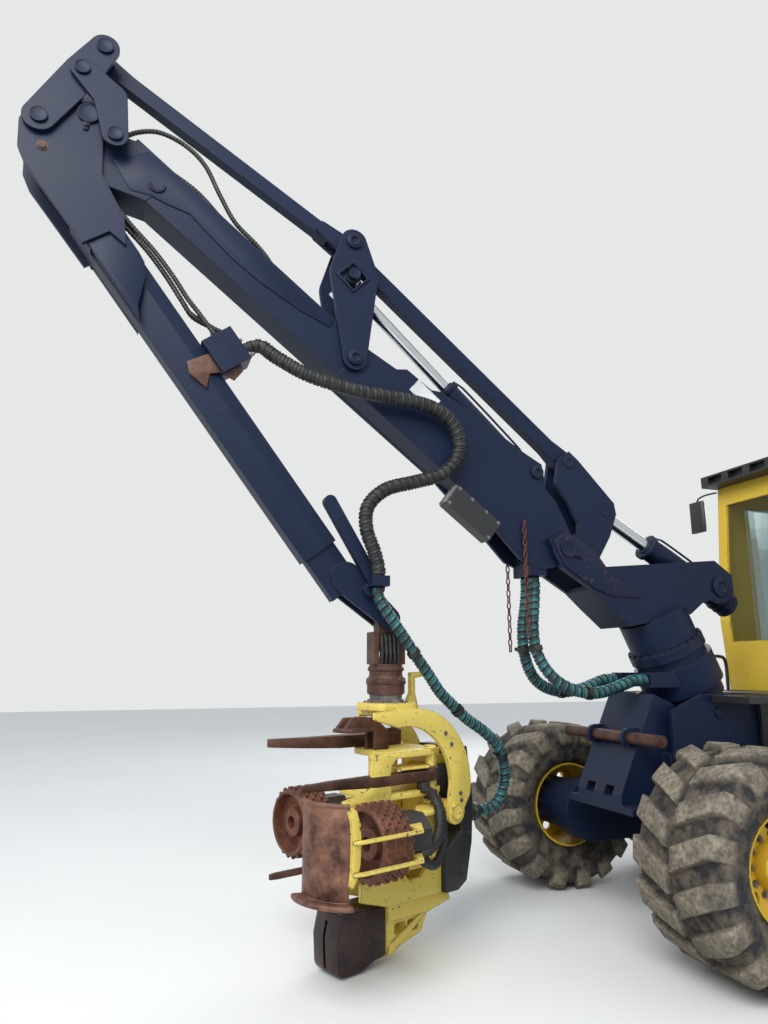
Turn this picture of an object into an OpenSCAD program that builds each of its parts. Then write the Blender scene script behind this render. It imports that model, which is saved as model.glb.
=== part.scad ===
// Six-wheeled forestry harvester with a parallel crane and a harvester head
// Every x in the tables below is measured ahead of the front axle line, y to the
// machine's left and z up from the ground; place() puts the origin under the middle.

/* [Machine] */
// Front axle line ahead of the origin
front_axle_x = 980; // [900:5:1100]
// Distance between the two wheels of one bogie
bogie_base = 1500; // [1450:10:1540]
// Articulation pivot behind the front axle line
pivot_back = 2700; // [2650:10:2800]
// Rear axle behind the front axle line
rear_axle_back = 4800; // [4750:10:4900]
// Rear end of the engine hood behind the front axle line
hood_end = 6450; // [6300:10:6700]
// Distance between the centre planes of left and right wheels
track = 2240; // [2230:5:2300]

/* [Wheels] */
// Width of every tyre
tyre_w = 710; // [660:5:720]
// Outer diameter of the bogie tyres
bogie_tyre_d = 1340; // [1300:5:1360]
// Outer diameter of the rear tyres
rear_tyre_d = 1640; // [1600:5:1680]
// Bead diameter of the bogie rims
bogie_rim_d = 674; // [660:1:690]
// Bead diameter of the rear rims
rear_rim_d = 864; // [850:1:880]
// Thickness of the rim dish
dish_t = 24; // [16:1:30]

/* [Cab] */
// Length of the cab floor
cab_l = 1600; // [1500:10:1650]
// Width of the cab
cab_w = 1600; // [1500:10:1640]
// Height of the cab floor above the ground
cab_floor_z = 1560; // [1550:5:1600]
// Height of the cab walls
cab_h = 2040; // [1950:10:2100]
// Thickness of the cab walls and door
cab_wall = 50; // [40:1:60]

/* [Crane] */
// Width of the main boom box
boom_w = 260; // [240:5:270]
// Depth of the main boom box
boom_d = 320; // [280:5:340]
// Width of the jib box
jib_w = 220; // [200:5:230]
// Depth of the jib box
jib_d = 265; // [240:5:280]
// Thickness of the crane's side plates
plate_t = 30; // [24:1:32]
// Radius of the crane's main pins
pin_r = 40; // [30:1:45]

/* [Head] */
// Turn of the head about the rotator's axis
head_turn = 20; // [0:1:45]
// Height of the head's base above the ground
head_lift = 12; // [5:1:60]

/* [Hidden] */
$fn = 48;

// Clearances
fit = 0.3;         // between a shaft and the bore that turns on it
run = 6;           // between pieces that move past each other

// Colours
navy = "#2b3850";
dark = "#23262e";
rubber = "#3a3835";
yellow = "#e6c648";
rust = "#6e4638";
steel = "#c8ccd0";
teal = "#1f4a50";
glass = "#8fa6ad";

// Wheel places
bogie_z = bogie_tyre_d / 2;
rear_z = rear_tyre_d / 2;
bogie_mid_x = -bogie_base / 2;
wheel_y = track / 2;
wheel_in_y = wheel_y - tyre_w / 2;

// Front frame
spine_top = 1200;
spine_bottom = 860;
spine_w = 660;
spine_end = pivot_back - 250;
fork_t = 50;
fork_w = 400;
pivot_r = 60;
axle_r = 170;
diff_r = 250;
diff_w = 340;
bar_at = [155, 1310];
bar_r = 42.5;
bar_mid_r = 40;
bar_l = 1120;
ear_in = 190;
ear_t = 30;
box_t = 220;
box_r = 235;
box_y = wheel_in_y - 15 - box_t / 2;
drum_r = 200;
stub_r = 60;

// Where the base hoses leave the boom and reach the crane base
hose_start = [810, 2490];
hose_end_x = -60;
hose_end_z = 1720;
hose_y = 180;

// Crane base and slew axis, in the plane y = 0 as [x, z]
tilt_pin = [-560, 1480];
slew_lean = 25.6;
collar_foot = [-586, 1633];
collar_h = 373;
flange_t = 40;
drum_h = 250;
collar_r = 300;
pillar_r = 270;

// Crane pins in the plane y = 0 as [x, z]
pin_a = [585, 2695];     // boom foot and rocker on the pillar's ears
pin_b = [790, 3290];     // fold cylinder on the boom's base
pin_c = [460, 3415];     // lower tie on the rocker
pin_d = [145, 3045];     // lift rod on the rocker
pin_l = [-865, 2460];    // lift cylinder's trunnion on the pillar
pin_f = [2295, 4930];    // both ties on the mid lever
pin_g = [2280, 4000];    // mid lever on the boom
pin_r_eye = [2290, 4665]; // fold rod on the mid lever
pin_j = [4185, 5480];    // jib on the boom's end
pin_k1 = [4120, 6010];   // upper tie on the knuckle lever
pin_k2 = [4245, 5770];   // knuckle link on the knuckle lever
pin_k3 = [4480, 5360];   // knuckle lever on the jib
pin_k4 = [4005, 5320];   // knuckle link on the boom's end
tip_pin = [1985, 2145];  // tip link on the extension

// Lateral places of the crane's plates, each a distance from the centre plane
boom_plate_y = boom_w / 2;
lever_in = boom_plate_y + run;
jib_plate_in = boom_plate_y + run;
knuckle_in = jib_plate_in + plate_t + run;
link_in = knuckle_in + plate_t + run;
pillar_in = boom_plate_y + 2 * run;
pillar_t = 40;

// Hose carrier on the extension
carrier_top = [2440, 2930];
carrier_foot = [2090, 2345];
// Underside of the block where the jib's hoses meet the head's
hose_mid = [2110, 200, 2350];

// Jib direction and the inner face of its box
jib_dir = -127.05;
jib_start = [4040, 4865];
jib_len = 2750;
ext_out = 330;

// Head
head_x = tip_pin[0];

// Puts a piece that is drawn from the front axle line into the part's frame
module place() translate([front_axle_x, 0, 0]) children();

// An outline in the x-z plane, t thick, with its middle at y
module side_plate(t, y = 0) translate([0, y + t / 2, 0]) rotate([90, 0, 0]) linear_extrude(t) children();

// The same outline on both sides, from y = inner outwards
module plates(t, inner) for (s = [-1, 1]) side_plate(t, s * (inner + t / 2)) children();

// A round bar across the machine at [x, z]
module cross(p, r, w, y = 0) translate([p[0], y, p[1]]) rotate([90, 0, 0]) cylinder(r = r, h = w, center = true);

flank = 0.998;

// Outline of a link with round ends
module link_2d(p, q, rp, rq) {
  d = norm(q - p);
  a = atan2(q[1] - p[1], q[0] - p[0]);
  b = acos((rp - rq) / d);
  translate(p) circle(r = rp);
  translate(q) circle(r = rq);
  // the flanks cut the circles just inside the tangent, where two arcs would meet on an edge
  polygon([
    p + flank * rp * [cos(a + b), sin(a + b)], q + flank * rq * [cos(a + b), sin(a + b)],
    q + flank * rq * [cos(a - b), sin(a - b)], p + flank * rp * [cos(a - b), sin(a - b)]
  ]);
}

// Turns local x to run from p to q in the x-z plane, with the local origin on p
module along(p, q) translate([p[0], 0, p[1]]) rotate([0, -atan2(q[1] - p[1], q[0] - p[0]), 0]) children();

// A round bar along local x from a to b
module bar(r, a, b) translate([a, 0, 0]) rotate([0, 90, 0]) cylinder(r = r, h = b - a);

// Local x and z of the crane's leaned slew axis, with local z along it
module on_slew() translate([collar_foot[0], 0, collar_foot[1]]) rotate([0, slew_lean, 0]) children();

// A point s along the line from p to q and t above it
function along_at(p, q, s, t) = let (u = (q - p) / norm(q - p)) p + s * u + t * [-u[1], u[0]];

function unit3(v) = v / norm(v);
function tangent(path, i) = unit3(path[min(i + 1, len(path) - 1)] - path[max(i - 1, 0)]);
function carry(path, i) = i == 0
  ? let (t = tangent(path, 0)) unit3(cross3(t, abs(t[2]) < 0.9 ? [0, 0, 1] : [0, 1, 0]))
  : let (u = carry(path, i - 1), t = tangent(path, i)) unit3(u - (u * t) * t);
function cross3(a, b) = [a[1] * b[2] - a[2] * b[1], a[2] * b[0] - a[0] * b[2], a[0] * b[1] - a[1] * b[0]];

// A hose of radius r swept along the points of its route
module hose(path, r, sides = 8) {
  n = len(path);
  rings = [for (i = [0 : n - 1]) let (t = tangent(path, i), u = carry(path, i), v = cross3(t, u))
    [for (k = [0 : sides - 1]) let (a = 360 * k / sides) path[i] + r * (cos(a) * u + sin(a) * v)]];
  points = [for (ring = rings) for (p = ring) p];
  sides_faces = [for (i = [0 : n - 2]) for (k = [0 : sides - 1])
    [i * sides + k, (i + 1) * sides + k, (i + 1) * sides + (k + 1) % sides, i * sides + (k + 1) % sides]];
  start_cap = [for (k = [0 : sides - 1]) k];
  end_cap = [for (k = [0 : sides - 1]) (n - 1) * sides + sides - 1 - k];
  polyhedron(points, concat([start_cap], sides_faces, [end_cap]));
}

// Wheels

// Section of a tyre's solid from its bead to the lugs' tips, as [radius, width]
function tyre_section(d, rim_d) = let (r = d / 2, b = rim_d / 2, h = tyre_w / 2) [
  [b, -h * 0.80], [b + 40, -h * 0.88], [r - 150, -h], [r - 70, -h], [r - 15, -h * 0.90], [r, -h * 0.72],
  [r, h * 0.72], [r - 15, h * 0.90], [r - 70, h], [r - 150, h], [b + 40, h * 0.88], [b, h * 0.80]
];

module tyre(d, rim_d) rotate([90, 0, 0]) rotate_extrude() polygon(tyre_section(d, rim_d));

// A rim with its outer side towards +y: barrel, flanges, holed dish and planet hub
module rim(rim_d) {
  b = rim_d / 2 - fit;
  h = tyre_w / 2;
  dish_y = h * 0.30;
  hub_r = 150;
  holes = 8;
  difference() {
    rotate([-90, 0, 0]) rotate_extrude() polygon([
      [b, -h * 0.79], [b, h * 0.79], [b - 16, h * 0.79], [b - 16, dish_y + dish_t],
      [hub_r, dish_y + dish_t], [hub_r, dish_y + dish_t + 90], [hub_r - 30, dish_y + dish_t + 110],
      [stub_r + fit, dish_y + dish_t + 110], [stub_r + fit, dish_y],
      [b - 16, dish_y], [b - 16, -h * 0.79]
    ]);
    for (i = [0 : holes - 1]) rotate([0, i * 360 / holes, 0])
      translate([(b + hub_r) / 2 - 6, dish_y - 1, 0]) rotate([-90, 0, 0]) cylinder(r = (b - hub_r) / 5, h = dish_t + 2);
  }
}

// Wheels as [x, z of the axle, tyre diameter, rim diameter]
front_wheel = [0, bogie_z, bogie_tyre_d, bogie_rim_d];
mid_wheel = [-bogie_base, bogie_z, bogie_tyre_d, bogie_rim_d];
rear_wheel = [-rear_axle_back, rear_z, rear_tyre_d, rear_rim_d];

module wheel_tyre(w, side) color(rubber) place()
  translate([w[0], side * wheel_y, w[1]]) tyre(w[2], w[3]);

module wheel_rim(w, side) color(yellow) place()
  translate([w[0], side * wheel_y, w[1]]) rotate([0, 0, side > 0 ? 0 : 180]) rim(w[3]);

module tyre_front_left() wheel_tyre(front_wheel, 1);
module tyre_front_right() wheel_tyre(front_wheel, -1);
module tyre_mid_left() wheel_tyre(mid_wheel, 1);
module tyre_mid_right() wheel_tyre(mid_wheel, -1);
module tyre_rear_left() wheel_tyre(rear_wheel, 1);
module tyre_rear_right() wheel_tyre(rear_wheel, -1);
module rim_front_left() wheel_rim(front_wheel, 1);
module rim_front_right() wheel_rim(front_wheel, -1);
module rim_mid_left() wheel_rim(mid_wheel, 1);
module rim_mid_right() wheel_rim(mid_wheel, -1);
module rim_rear_left() wheel_rim(rear_wheel, 1);
module rim_rear_right() wheel_rim(rear_wheel, -1);

// The fixed hub drum that carries a wheel, with the stub that its dish turns on
module hub(x, z, from_y, side) {
  dish_in = wheel_y + tyre_w / 2 * 0.30;
  length = dish_in - from_y;
  cross([x, z], drum_r, length - fit, side * (from_y + (length - fit) / 2));
  cross([x, z], stub_r, length + dish_t + 60, side * (from_y + (length + dish_t + 60) / 2));
}

// Running gear under the front frame

module bogie_axle() color(navy) place() {
  cross([bogie_mid_x, bogie_z], axle_r, 2 * (box_y - box_t / 2));
  cross([bogie_mid_x, bogie_z], diff_r, diff_w);
}

module bogie_boxes() color(navy) place() for (s = [-1, 1]) {
  side_plate(box_t, s * box_y) link_2d([0, bogie_z], [-bogie_base, bogie_z], box_r, box_r);
  for (x = [0, -bogie_base]) hub(x, bogie_z, box_y, s);
}

module front_frame() color(navy) place() difference() {
  union() {
    // spine
    translate([-spine_end, -spine_w / 2, spine_bottom]) cube([spine_end - 100, spine_w, spine_top - spine_bottom]);
    // nose with its sloped front face
    side_plate(520) polygon([[-105, 780], [300, 850], [300, 920], [-50, 1620], [-230, 1540], [-230, 1190], [-105, 1190]]);
    // ears for the cross bar
    plates(ear_t, ear_in) link_2d([40, bar_at[1]], bar_at, 70, 70);
    // lower lip
    translate([60, -380, 800]) cube([240, 760, 50]);
    // cheeks that carry the crane base
    plates(40, collar_r + 20) polygon([[-1040, 1190], [-120, 1190], [-120, 1500], [-420, 1620], [-700, 1620], [-1040, 1500]]);
    translate([-1040, -(collar_r + 60), 1150]) cube([930, 2 * (collar_r + 60), 50]);
    // saddles on the bogie axle
    plates(60, 200) polygon([[bogie_mid_x - 260, 600], [bogie_mid_x + 260, 600], [bogie_mid_x + 330, 870], [bogie_mid_x - 330, 870]]);
    // fork at the articulation
    for (z = [spine_bottom, spine_top - fork_t])
      translate([-pivot_back - 100, -fork_w / 2, z]) cube([400, fork_w, fork_t]);
    // pedestal under the cab
    translate([-2400, -350, spine_top - 10]) cube([520, 700, cab_floor_z - spine_top + 10]);
    for (s = [-1, 1]) translate([-cab_rear() + 100, s * 300 - 60, cab_floor_z - 80]) cube([cab_l - 300, 120, 80]);
  }
  cross([bogie_mid_x, bogie_z], axle_r + fit, 2 * spine_w);
  cross([bogie_mid_x, bogie_z], diff_r + fit, diff_w + 2 * fit);
  translate([-pivot_back, 0, spine_bottom - 1]) cylinder(r = pivot_r + fit, h = spine_top - spine_bottom + 2);
  cross(tilt_pin, pin_r + fit, 1000);
  // two access holes through the nose
  for (s = [-1, 1]) translate([60, s * 110 - 50, 900]) cube([400, 100, 70]);
  cross(bar_at, bar_mid_r + fit, bar_l);
}

// The bar is necked where it goes through the ears
module front_bar() color(rust) place() {
  neck = ear_in + ear_t + 2;
  cross(bar_at, bar_mid_r, 2 * neck + 1);
  half_pins(bar_at, bar_r, neck, bar_l / 2);
}

function cab_rear() = 1850 + cab_l;

// Platform beside the crane base and the cab's ladder
module deck() color(dark) place() {
  // grating of bars on a frame
  for (s = [-1, 1]) {
    difference() {
      translate([-1780, s * 560 - 180, 1560]) cube([1300, 360, 50]);
      for (i = [0 : 11]) translate([-1750 + i * 105, s * 560 - 150, 1559]) cube([80, 300, 52]);
    }
    for (x = [-1650, -1000]) translate([x, s * 395 - 15, spine_top]) cube([80, 30, 360 - fit]);
  }
  translate([-1780, -380 + fit, 1560]) cube([640, 760 - 2 * fit, 50]);
  for (x = [-1650, -1200]) translate([x, -300, spine_top]) cube([60, 600, 360 - fit]);
}

// Cab

cab_profile = [
  [-cab_rear(), 0], [-1850, 0], [-1800, 700], [-1930, cab_h], [-cab_rear(), cab_h]
];

module cab_solid(inset) side_plate(cab_w - 2 * inset) translate([0, cab_floor_z])
  polygon([
    [cab_profile[0][0] + inset, inset], [cab_profile[1][0] - inset, inset], [cab_profile[2][0] - inset, 700],
    [cab_profile[3][0] - inset, cab_h - inset], [cab_profile[4][0] + inset, cab_h - inset]
  ]);

door_x0 = -cab_rear() + 200;
door_l = 900;
door_z0 = cab_floor_z + 90;
door_h = cab_h - 220;
win_in = 70;

module cab_windows(grow) {
  // front, rear and two side windows
  translate([-2050, -cab_w / 2 + 110 - grow, cab_floor_z + 500 - grow]) cube([400, cab_w - 220 + 2 * grow, 1350 + 2 * grow]);
  translate([-cab_rear() - 50, -cab_w / 2 + 150 - grow, cab_floor_z + 900 - grow]) cube([200, cab_w - 300 + 2 * grow, 900 + 2 * grow]);
  translate([-cab_rear() + 250 - grow, -cab_w / 2 - 50, cab_floor_z + 450 - grow]) cube([950 + 2 * grow, 200, 1400 + 2 * grow]);
}

module cab_walls() difference() {
  cab_solid(0);
  cab_solid(cab_wall);
  cab_windows(0);
  translate([door_x0, cab_w / 2 - cab_wall - 10, door_z0]) cube([door_l, cab_wall + 20, door_h]);
}

module cab_shell() color(yellow) place() {
  cab_walls();
  // hinge pins with a knuckle above and below each of the door's barrels
  for (z = hinge_z) {
    translate([hinge_x, hinge_y, z - 20]) cylinder(r = hinge_pin_r, h = hinge_h + 40);
    for (k = [z - 20, z + hinge_h + 1]) {
      translate([hinge_x, hinge_y, k]) cylinder(r = hinge_r, h = 19);
      translate([hinge_x - 40, cab_w / 2 - 1, k]) cube([40, hinge_y - cab_w / 2 + 8, 19]);
    }
  }
}

module cab_glass() color(glass) place() {
  intersection() {
    difference() {
      cab_solid(20);
      cab_solid(28);
    }
    cab_windows(-fit);
  }
}

module cab_roof() color(dark) place()
  translate([-cab_rear() - 30, -cab_w / 2 - 30, cab_floor_z + cab_h]) difference() {
    cube([cab_l + 130, cab_w + 60, 110]);
    for (i = [0 : 5]) translate([cab_l + 70, 90 + i * 260, 20]) cube([80, 180, 70]);
  }

hinge_x = door_x0 - 8;
hinge_y = cab_w / 2 + 24;
hinge_z = [door_z0 + 200, door_z0 + door_h - 260];
hinge_h = 60;
hinge_r = 14;
hinge_pin_r = 7;

module cab_door() color(yellow) place() {
  gap = run;
  difference() {
    translate([door_x0 + gap, cab_w / 2 - cab_wall, door_z0 + gap]) cube([door_l - 2 * gap, cab_wall, door_h - 2 * gap]);
    translate([door_x0 + gap + win_in, cab_w / 2 - cab_wall - 1, door_z0 + 380])
      cube([door_l - 2 * gap - 2 * win_in, cab_wall + 2, door_h - 470]);
  }
  for (z = hinge_z) difference() {
    union() {
      translate([hinge_x, hinge_y, z]) cylinder(r = hinge_r, h = hinge_h);
      translate([hinge_x, hinge_y - 10, z]) cube([60, 20, hinge_h]);
      translate([hinge_x + 30, cab_w / 2 - 1, z]) cube([30, hinge_y - cab_w / 2, hinge_h]);
    }
    translate([hinge_x, hinge_y, z - 1]) cylinder(r = hinge_pin_r + fit, h = hinge_h + 2);
  }
}

module door_glass() color(glass) place()
  translate([door_x0 + run + win_in + fit, cab_w / 2 - 30, door_z0 + 380 + fit])
    cube([door_l - 2 * run - 2 * win_in - 2 * fit, 8, door_h - 470 - 2 * fit]);

module seat() color(dark) place() translate([-cab_rear() + 350, 0, cab_floor_z + cab_wall]) {
  translate([100, -150, 0]) cube([300, 300, 380]);
  translate([0, -260, 380]) cube([540, 520, 130]);
  translate([-60, -250, 510]) cube([130, 500, 700]);
  for (s = [-1, 1]) translate([100, s * 310 - 50, 500]) cube([420, 100, 120]);
  for (s = [-1, 1]) translate([200, s * 270 - 20, 420]) cube([60, 40, 90]);
}

// Rear frame with its tongue and pivot pin
hood_front = pivot_back + 1250;
rear_top = 1190;

module rear_frame() color(navy) place() difference() {
  union() {
    translate([-hood_end, -300, 880]) cube([hood_end - pivot_back - 380, 600, rear_top - 880]);
    translate([-pivot_back - 400, -130, spine_bottom + fork_t + run]) cube([400, 260, spine_top - spine_bottom - 2 * fork_t - 2 * run]);
    translate([-pivot_back, 0, spine_bottom + fork_t + run]) cylinder(r = 130, h = spine_top - spine_bottom - 2 * fork_t - 2 * run);
    translate([-pivot_back, 0, spine_bottom - 20]) cylinder(r = pivot_r, h = spine_top - spine_bottom + 40);
    translate([-hood_end, -690, rear_top - 25]) cube([hood_end - hood_front, 1380, 25]);
    translate([-hood_end - 100, -700, 700]) cube([100, 1400, 480]);
  }
  cross([-rear_axle_back, rear_z], 150 + fit, 2000);
}

module rear_axle() color(navy) place() {
  cross([-rear_axle_back, rear_z], 150, 1300);
  for (s = [-1, 1]) hub(-rear_axle_back, rear_z, 560, s);
}

hood_h = 1400;
hood_wall = 25;

module hood_outer(inset) side_plate(1400 - 2 * inset) polygon([
  [-hood_end + inset, rear_top], [-hood_front - inset, rear_top], [-hood_front - inset, rear_top + hood_h - inset],
  [-hood_front - 700, rear_top + hood_h - inset], [-hood_end + 250 + inset, rear_top + hood_h - 300 - inset],
  [-hood_end + inset, rear_top + hood_h - 500 - inset]
]);

module engine_hood() color(yellow) place() difference() {
  hood_outer(0);
  hood_outer(hood_wall);
  translate([-hood_end + hood_wall, -700 + hood_wall, rear_top - 1]) cube([hood_end - hood_front - 2 * hood_wall, 1400 - 2 * hood_wall, 10]);
  // louvres on both sides and at the back
  for (s = [-1, 1]) for (i = [0 : 7])
    translate([-hood_end + 300, s * 700 - 50, rear_top + 250 + i * 70]) cube([700, 100, 35]);
  for (i = [0 : 9]) translate([-hood_end - 50, -500, rear_top + 120 + i * 70]) cube([100, 1000, 35]);
}

module engine() color(steel) place() translate([-5600, -330, rear_top]) cube([1300, 660, 750]);

module exhaust() color(dark) place() translate([-4500, -450, rear_top + hood_h]) {
  cylinder(r = 60, h = 420);
  cylinder(r = 85, h = 40);
}

// Crane

module crane_base() color(navy) place() {
  on_slew() {
    translate([0, 0, -60]) cylinder(r = collar_r - 20, h = collar_h + 60 - flange_t);
    translate([0, 0, collar_h - flange_t]) cylinder(r = collar_r, h = flange_t);
    translate([0, 0, 40]) cylinder(r = collar_r + 15, h = 230);
  }
  // blocks where the hoses enter
  for (s = [-1, 1]) translate([-420, s * hose_y - 55, hose_end_z - 55]) cube([420 + hose_end_x, 110, 110]);
  cross(tilt_pin, 120, 2 * collar_r);
  cross(tilt_pin, pin_r, 2 * (collar_r + 75));
  along(tilt_pin, collar_foot) translate([0, -collar_r + 60, -110]) cube([170, 2 * collar_r - 120, 220]);
}

module pillar() color(navy) place() {
  on_slew() {
    translate([0, 0, collar_h + fit]) cylinder(r = collar_r, h = flange_t);
    translate([0, 0, collar_h + flange_t]) cylinder(r = pillar_r, h = drum_h);
  }
  difference() {
    union() {
      plates(pillar_t, pillar_in) union() {
        polygon([[240, 2575], [-830, 2675], [-1000, 2560], [-1000, 2400], [-680, 2330], [-540, 2230], [60, 2120],
          [240, 2270], [380, 2395], [640, 2550], [740, 2760], [585, 2830], [330, 2690]]);
        translate(pin_a) circle(r = 120);
        translate(pin_l) circle(r = 130);
      }
      side_plate(2 * pillar_in) polygon([[-520, 2225], [60, 2120], [240, 2270], [380, 2395], [380, 2430], [150, 2390], [-450, 2330]]);
    }
    cross(pin_l, 70 + fit, 1000);
  }
  cross(pin_a, pin_r, 2 * (pillar_in + pillar_t + 15));
}

lift_len = norm(pin_d - pin_l);
lift_r = 95;
lift_rod_r = 55;

module lift_barrel() color(navy) place() along(pin_l, pin_d) {
  difference() {
    union() {
      bar(lift_r, -285, 665);
      rotate([90, 0, 0]) cylinder(r = 70, h = 2 * (pillar_in + pillar_t), center = true);
    }
    bar(lift_rod_r + fit, -250, 700);
  }
}

module lift_rod() color(steel) place() {
  along(pin_l, pin_d) {
    bar(lift_rod_r, lift_len - 1150, lift_len - 50);
    translate([lift_len, 0, 0]) rotate([90, 0, 0]) cylinder(r = 75, h = 110, center = true);
  }
  cross(pin_d, pin_r, 2 * (rocker_in - fit));
}

rocker_in = 60;
rocker_t = boom_plate_y - plate_t - run - rocker_in;
rocker_outline = [
  [560, 3440], [460, 3505], [380, 3440], [60, 3110], [45, 3020], [120, 2830], [240, 2640],
  [420, 2700], [410, 2930], [490, 3085], [600, 3230]
];

// Two plates on a hub: lower tie at the top, lift rod at the back
module rocker() color(navy) place() difference() {
  union() {
    plates(rocker_t, rocker_in) union() {
      polygon(rocker_outline);
      link_2d([330, 2760], pin_a, 100, 100);
    }
    side_plate(2 * rocker_in + 1) link_2d([350, 2750], pin_a, 70, 95);
    cross(pin_c, pin_r, 2 * rocker_in + 1);
  }
  cross(pin_a, pin_r + fit, 1000);
}

// Main boom, drawn along the line from pin_a to pin_j
boom_len = norm(pin_j - pin_a);
box_mid = -20;
plate_proud = 4;
base_outline = [
  [2150, 136], [1860, 180], [1800, 240], [1560, 252], [1490, 300], [1240, 340], [700, 400],
  [530, 430], [440, 344], [400, 290], [270, 270], [100, 190], [-40, 120],
  [-110, 0], [-60, -110], [60, -250], [250, -300], [700, -230], [1100, -184], [2150, -184]
];

module along_boom() along(pin_a, pin_j) children();

module boom_plate_2d(points) translate(pin_a) rotate(atan2(pin_j[1] - pin_a[1], pin_j[0] - pin_a[0])) polygon(points);

module main_boom() color(navy) place() difference() {
  union() {
    along_boom() translate([900, plate_proud - boom_w / 2, box_mid - boom_d / 2])
      cube([boom_len - 1200, boom_w - 2 * plate_proud, boom_d]);
    plates(plate_t, boom_plate_y - plate_t) boom_plate_2d(base_outline);
    side_plate(2 * boom_plate_y) union() {
      boom_plate_2d([[3900, 136], [boom_len - 350, 136], [boom_len - 200, 60], [boom_len - 60, 90], [boom_len - 20, 95],
        [boom_len - 20, -95], [boom_len - 130, -140], [boom_len - 400, -300], [3900, -176]]);
      translate(pin_j) circle(r = 110);
    }
    cross(pin_k4, pin_r, 2 * (link_in + plate_t + 10));
    cross(pin_k4, 60, 2 * (link_in - run));
    cross(pin_b, pin_r, boom_w + 20);
    translate([hose_start[0] - 70, -boom_plate_y + 5, hose_start[1]]) cube([140, boom_w - 10, 160]);
    cross(pin_g, pin_r, 2 * (lever_in + plate_t + 10));
  }
  cross(pin_a, pin_r + fit, 1000);
  cross(pin_j, pin_r + 5 + fit, 1000);
}

eye_t = 40;
tie_w = 90;
fork_in = 40;
rod_eye_t = 100;

// Half pins or bosses on both sides, from y = inner to y = outer
module half_pins(p, r, inner, outer) for (s = [-1, 1]) cross(p, r, outer - inner, s * (inner + outer) / 2);

module mid_lever() color(navy) place() {
  difference() {
    plates(plate_t, lever_in) union() {
      link_2d(pin_f, [2290, 4660], 100, 185);
      link_2d([2290, 4660], pin_g, 185, 90);
    }
    cross(pin_g, pin_r + fit, 1000);
    side_plate(1000) translate([2300, 4640]) rotate(45) square(150, center = true);
  }
  half_pins(pin_f, pin_r, eye_t / 2 + fit, lever_in + plate_t + 10);
  half_pins(pin_f, 60, fork_in + 30 + run, lever_in + 1);
  half_pins(pin_r_eye, 60, rod_eye_t / 2 + fit, lever_in + 1);
  half_pins(pin_r_eye, pin_r, lever_in, lever_in + plate_t + 10);
  cross([2280, 4380], 45, 2 * lever_in + 1);
}

module lower_tie() color(navy) place() difference() {
  union() {
    along(pin_c, pin_f) translate([120, -tie_w / 2, -60]) cube([norm(pin_f - pin_c) - 240, tie_w, 120]);
    side_plate(tie_w - 2) link_2d(pin_c, along_at(pin_c, pin_f, 250, 0), 90, 55);
    side_plate(eye_t) link_2d(along_at(pin_f, pin_c, 250, 0), pin_f, 55, 75);
  }
  cross(pin_c, pin_r + fit, 400);
}

module upper_tie() color(navy) place() difference() {
  union() {
    along(pin_f, pin_k1) translate([180, -tie_w / 2, -55]) cube([norm(pin_k1 - pin_f) - 300, tie_w, 110]);
    plates(30, fork_in) link_2d(pin_f, along_at(pin_f, pin_k1, 260, 0), 75, 50);
    side_plate(tie_w - 2) link_2d(along_at(pin_k1, pin_f, 250, 0), pin_k1, 50, 75);
  }
  cross(pin_f, pin_r + fit, 400);
}

fold_len = norm(pin_r_eye - pin_b);
fold_r = 75;
fold_rod_r = 45;

module jib_barrel() color(navy) place() along(pin_b, pin_r_eye) difference() {
  union() {
    bar(fold_r, 40, 950);
    rotate([90, 0, 0]) cylinder(r = 80, h = 120, center = true);
  }
  rotate([90, 0, 0]) cylinder(r = pin_r + fit, h = 400, center = true);
  bar(fold_rod_r + fit, 85, 1000);
}

module jib_rod() color(steel) place() along(pin_b, pin_r_eye) {
  bar(fold_rod_r, fold_len - 1360, fold_len - 50);
  translate([fold_len, 0, 0]) rotate([90, 0, 0]) cylinder(r = 70, h = rod_eye_t, center = true);
}

module knuckle_lever() color(navy) place() {
  difference() {
    plates(plate_t, knuckle_in) union() {
      link_2d(pin_k1, pin_k2, 95, 120);
      link_2d(pin_k2, pin_k3, 120, 105);
    }
    cross(pin_k3, pin_r + fit, 1000);
  }
  half_pins(pin_k1, 60, tie_w / 2, knuckle_in + 1);
  half_pins(pin_k1, pin_r, knuckle_in, knuckle_in + plate_t + 10);
  half_pins(pin_k2, 60, knuckle_in, link_in - fit);
}

// Middle of the knuckle link's bow
link_mid = (pin_k2 + pin_k4) / 2 + [-70, 55];

module knuckle_link() color(navy) place() {
  difference() {
    plates(plate_t, link_in) union() {
      link_2d(pin_k2, link_mid, 80, 110);
      link_2d(link_mid, pin_k4, 110, 85);
    }
    cross(pin_k4, pin_r + fit, 1000);
  }
  half_pins(pin_k2, pin_r, link_in, link_in + plate_t + 10);
}

// Jib box, local x along it from its upper end and local z towards its outer face
module along_jib() translate([jib_start[0], 0, jib_start[1]]) rotate([0, -jib_dir, 0]) children();

jib_wall = 12;
ext_gap = 4;

module jib_section(inset) {
  w = jib_w / 2 - inset;
  rotate([90, 0, 90]) linear_extrude(jib_len) polygon([
    [-w + 22, inset], [w - 22, inset], [w, jib_d * 0.36], [w - 40, jib_d - inset], [-w + 40, jib_d - inset], [-w, jib_d * 0.36]
  ]);
}

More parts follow.
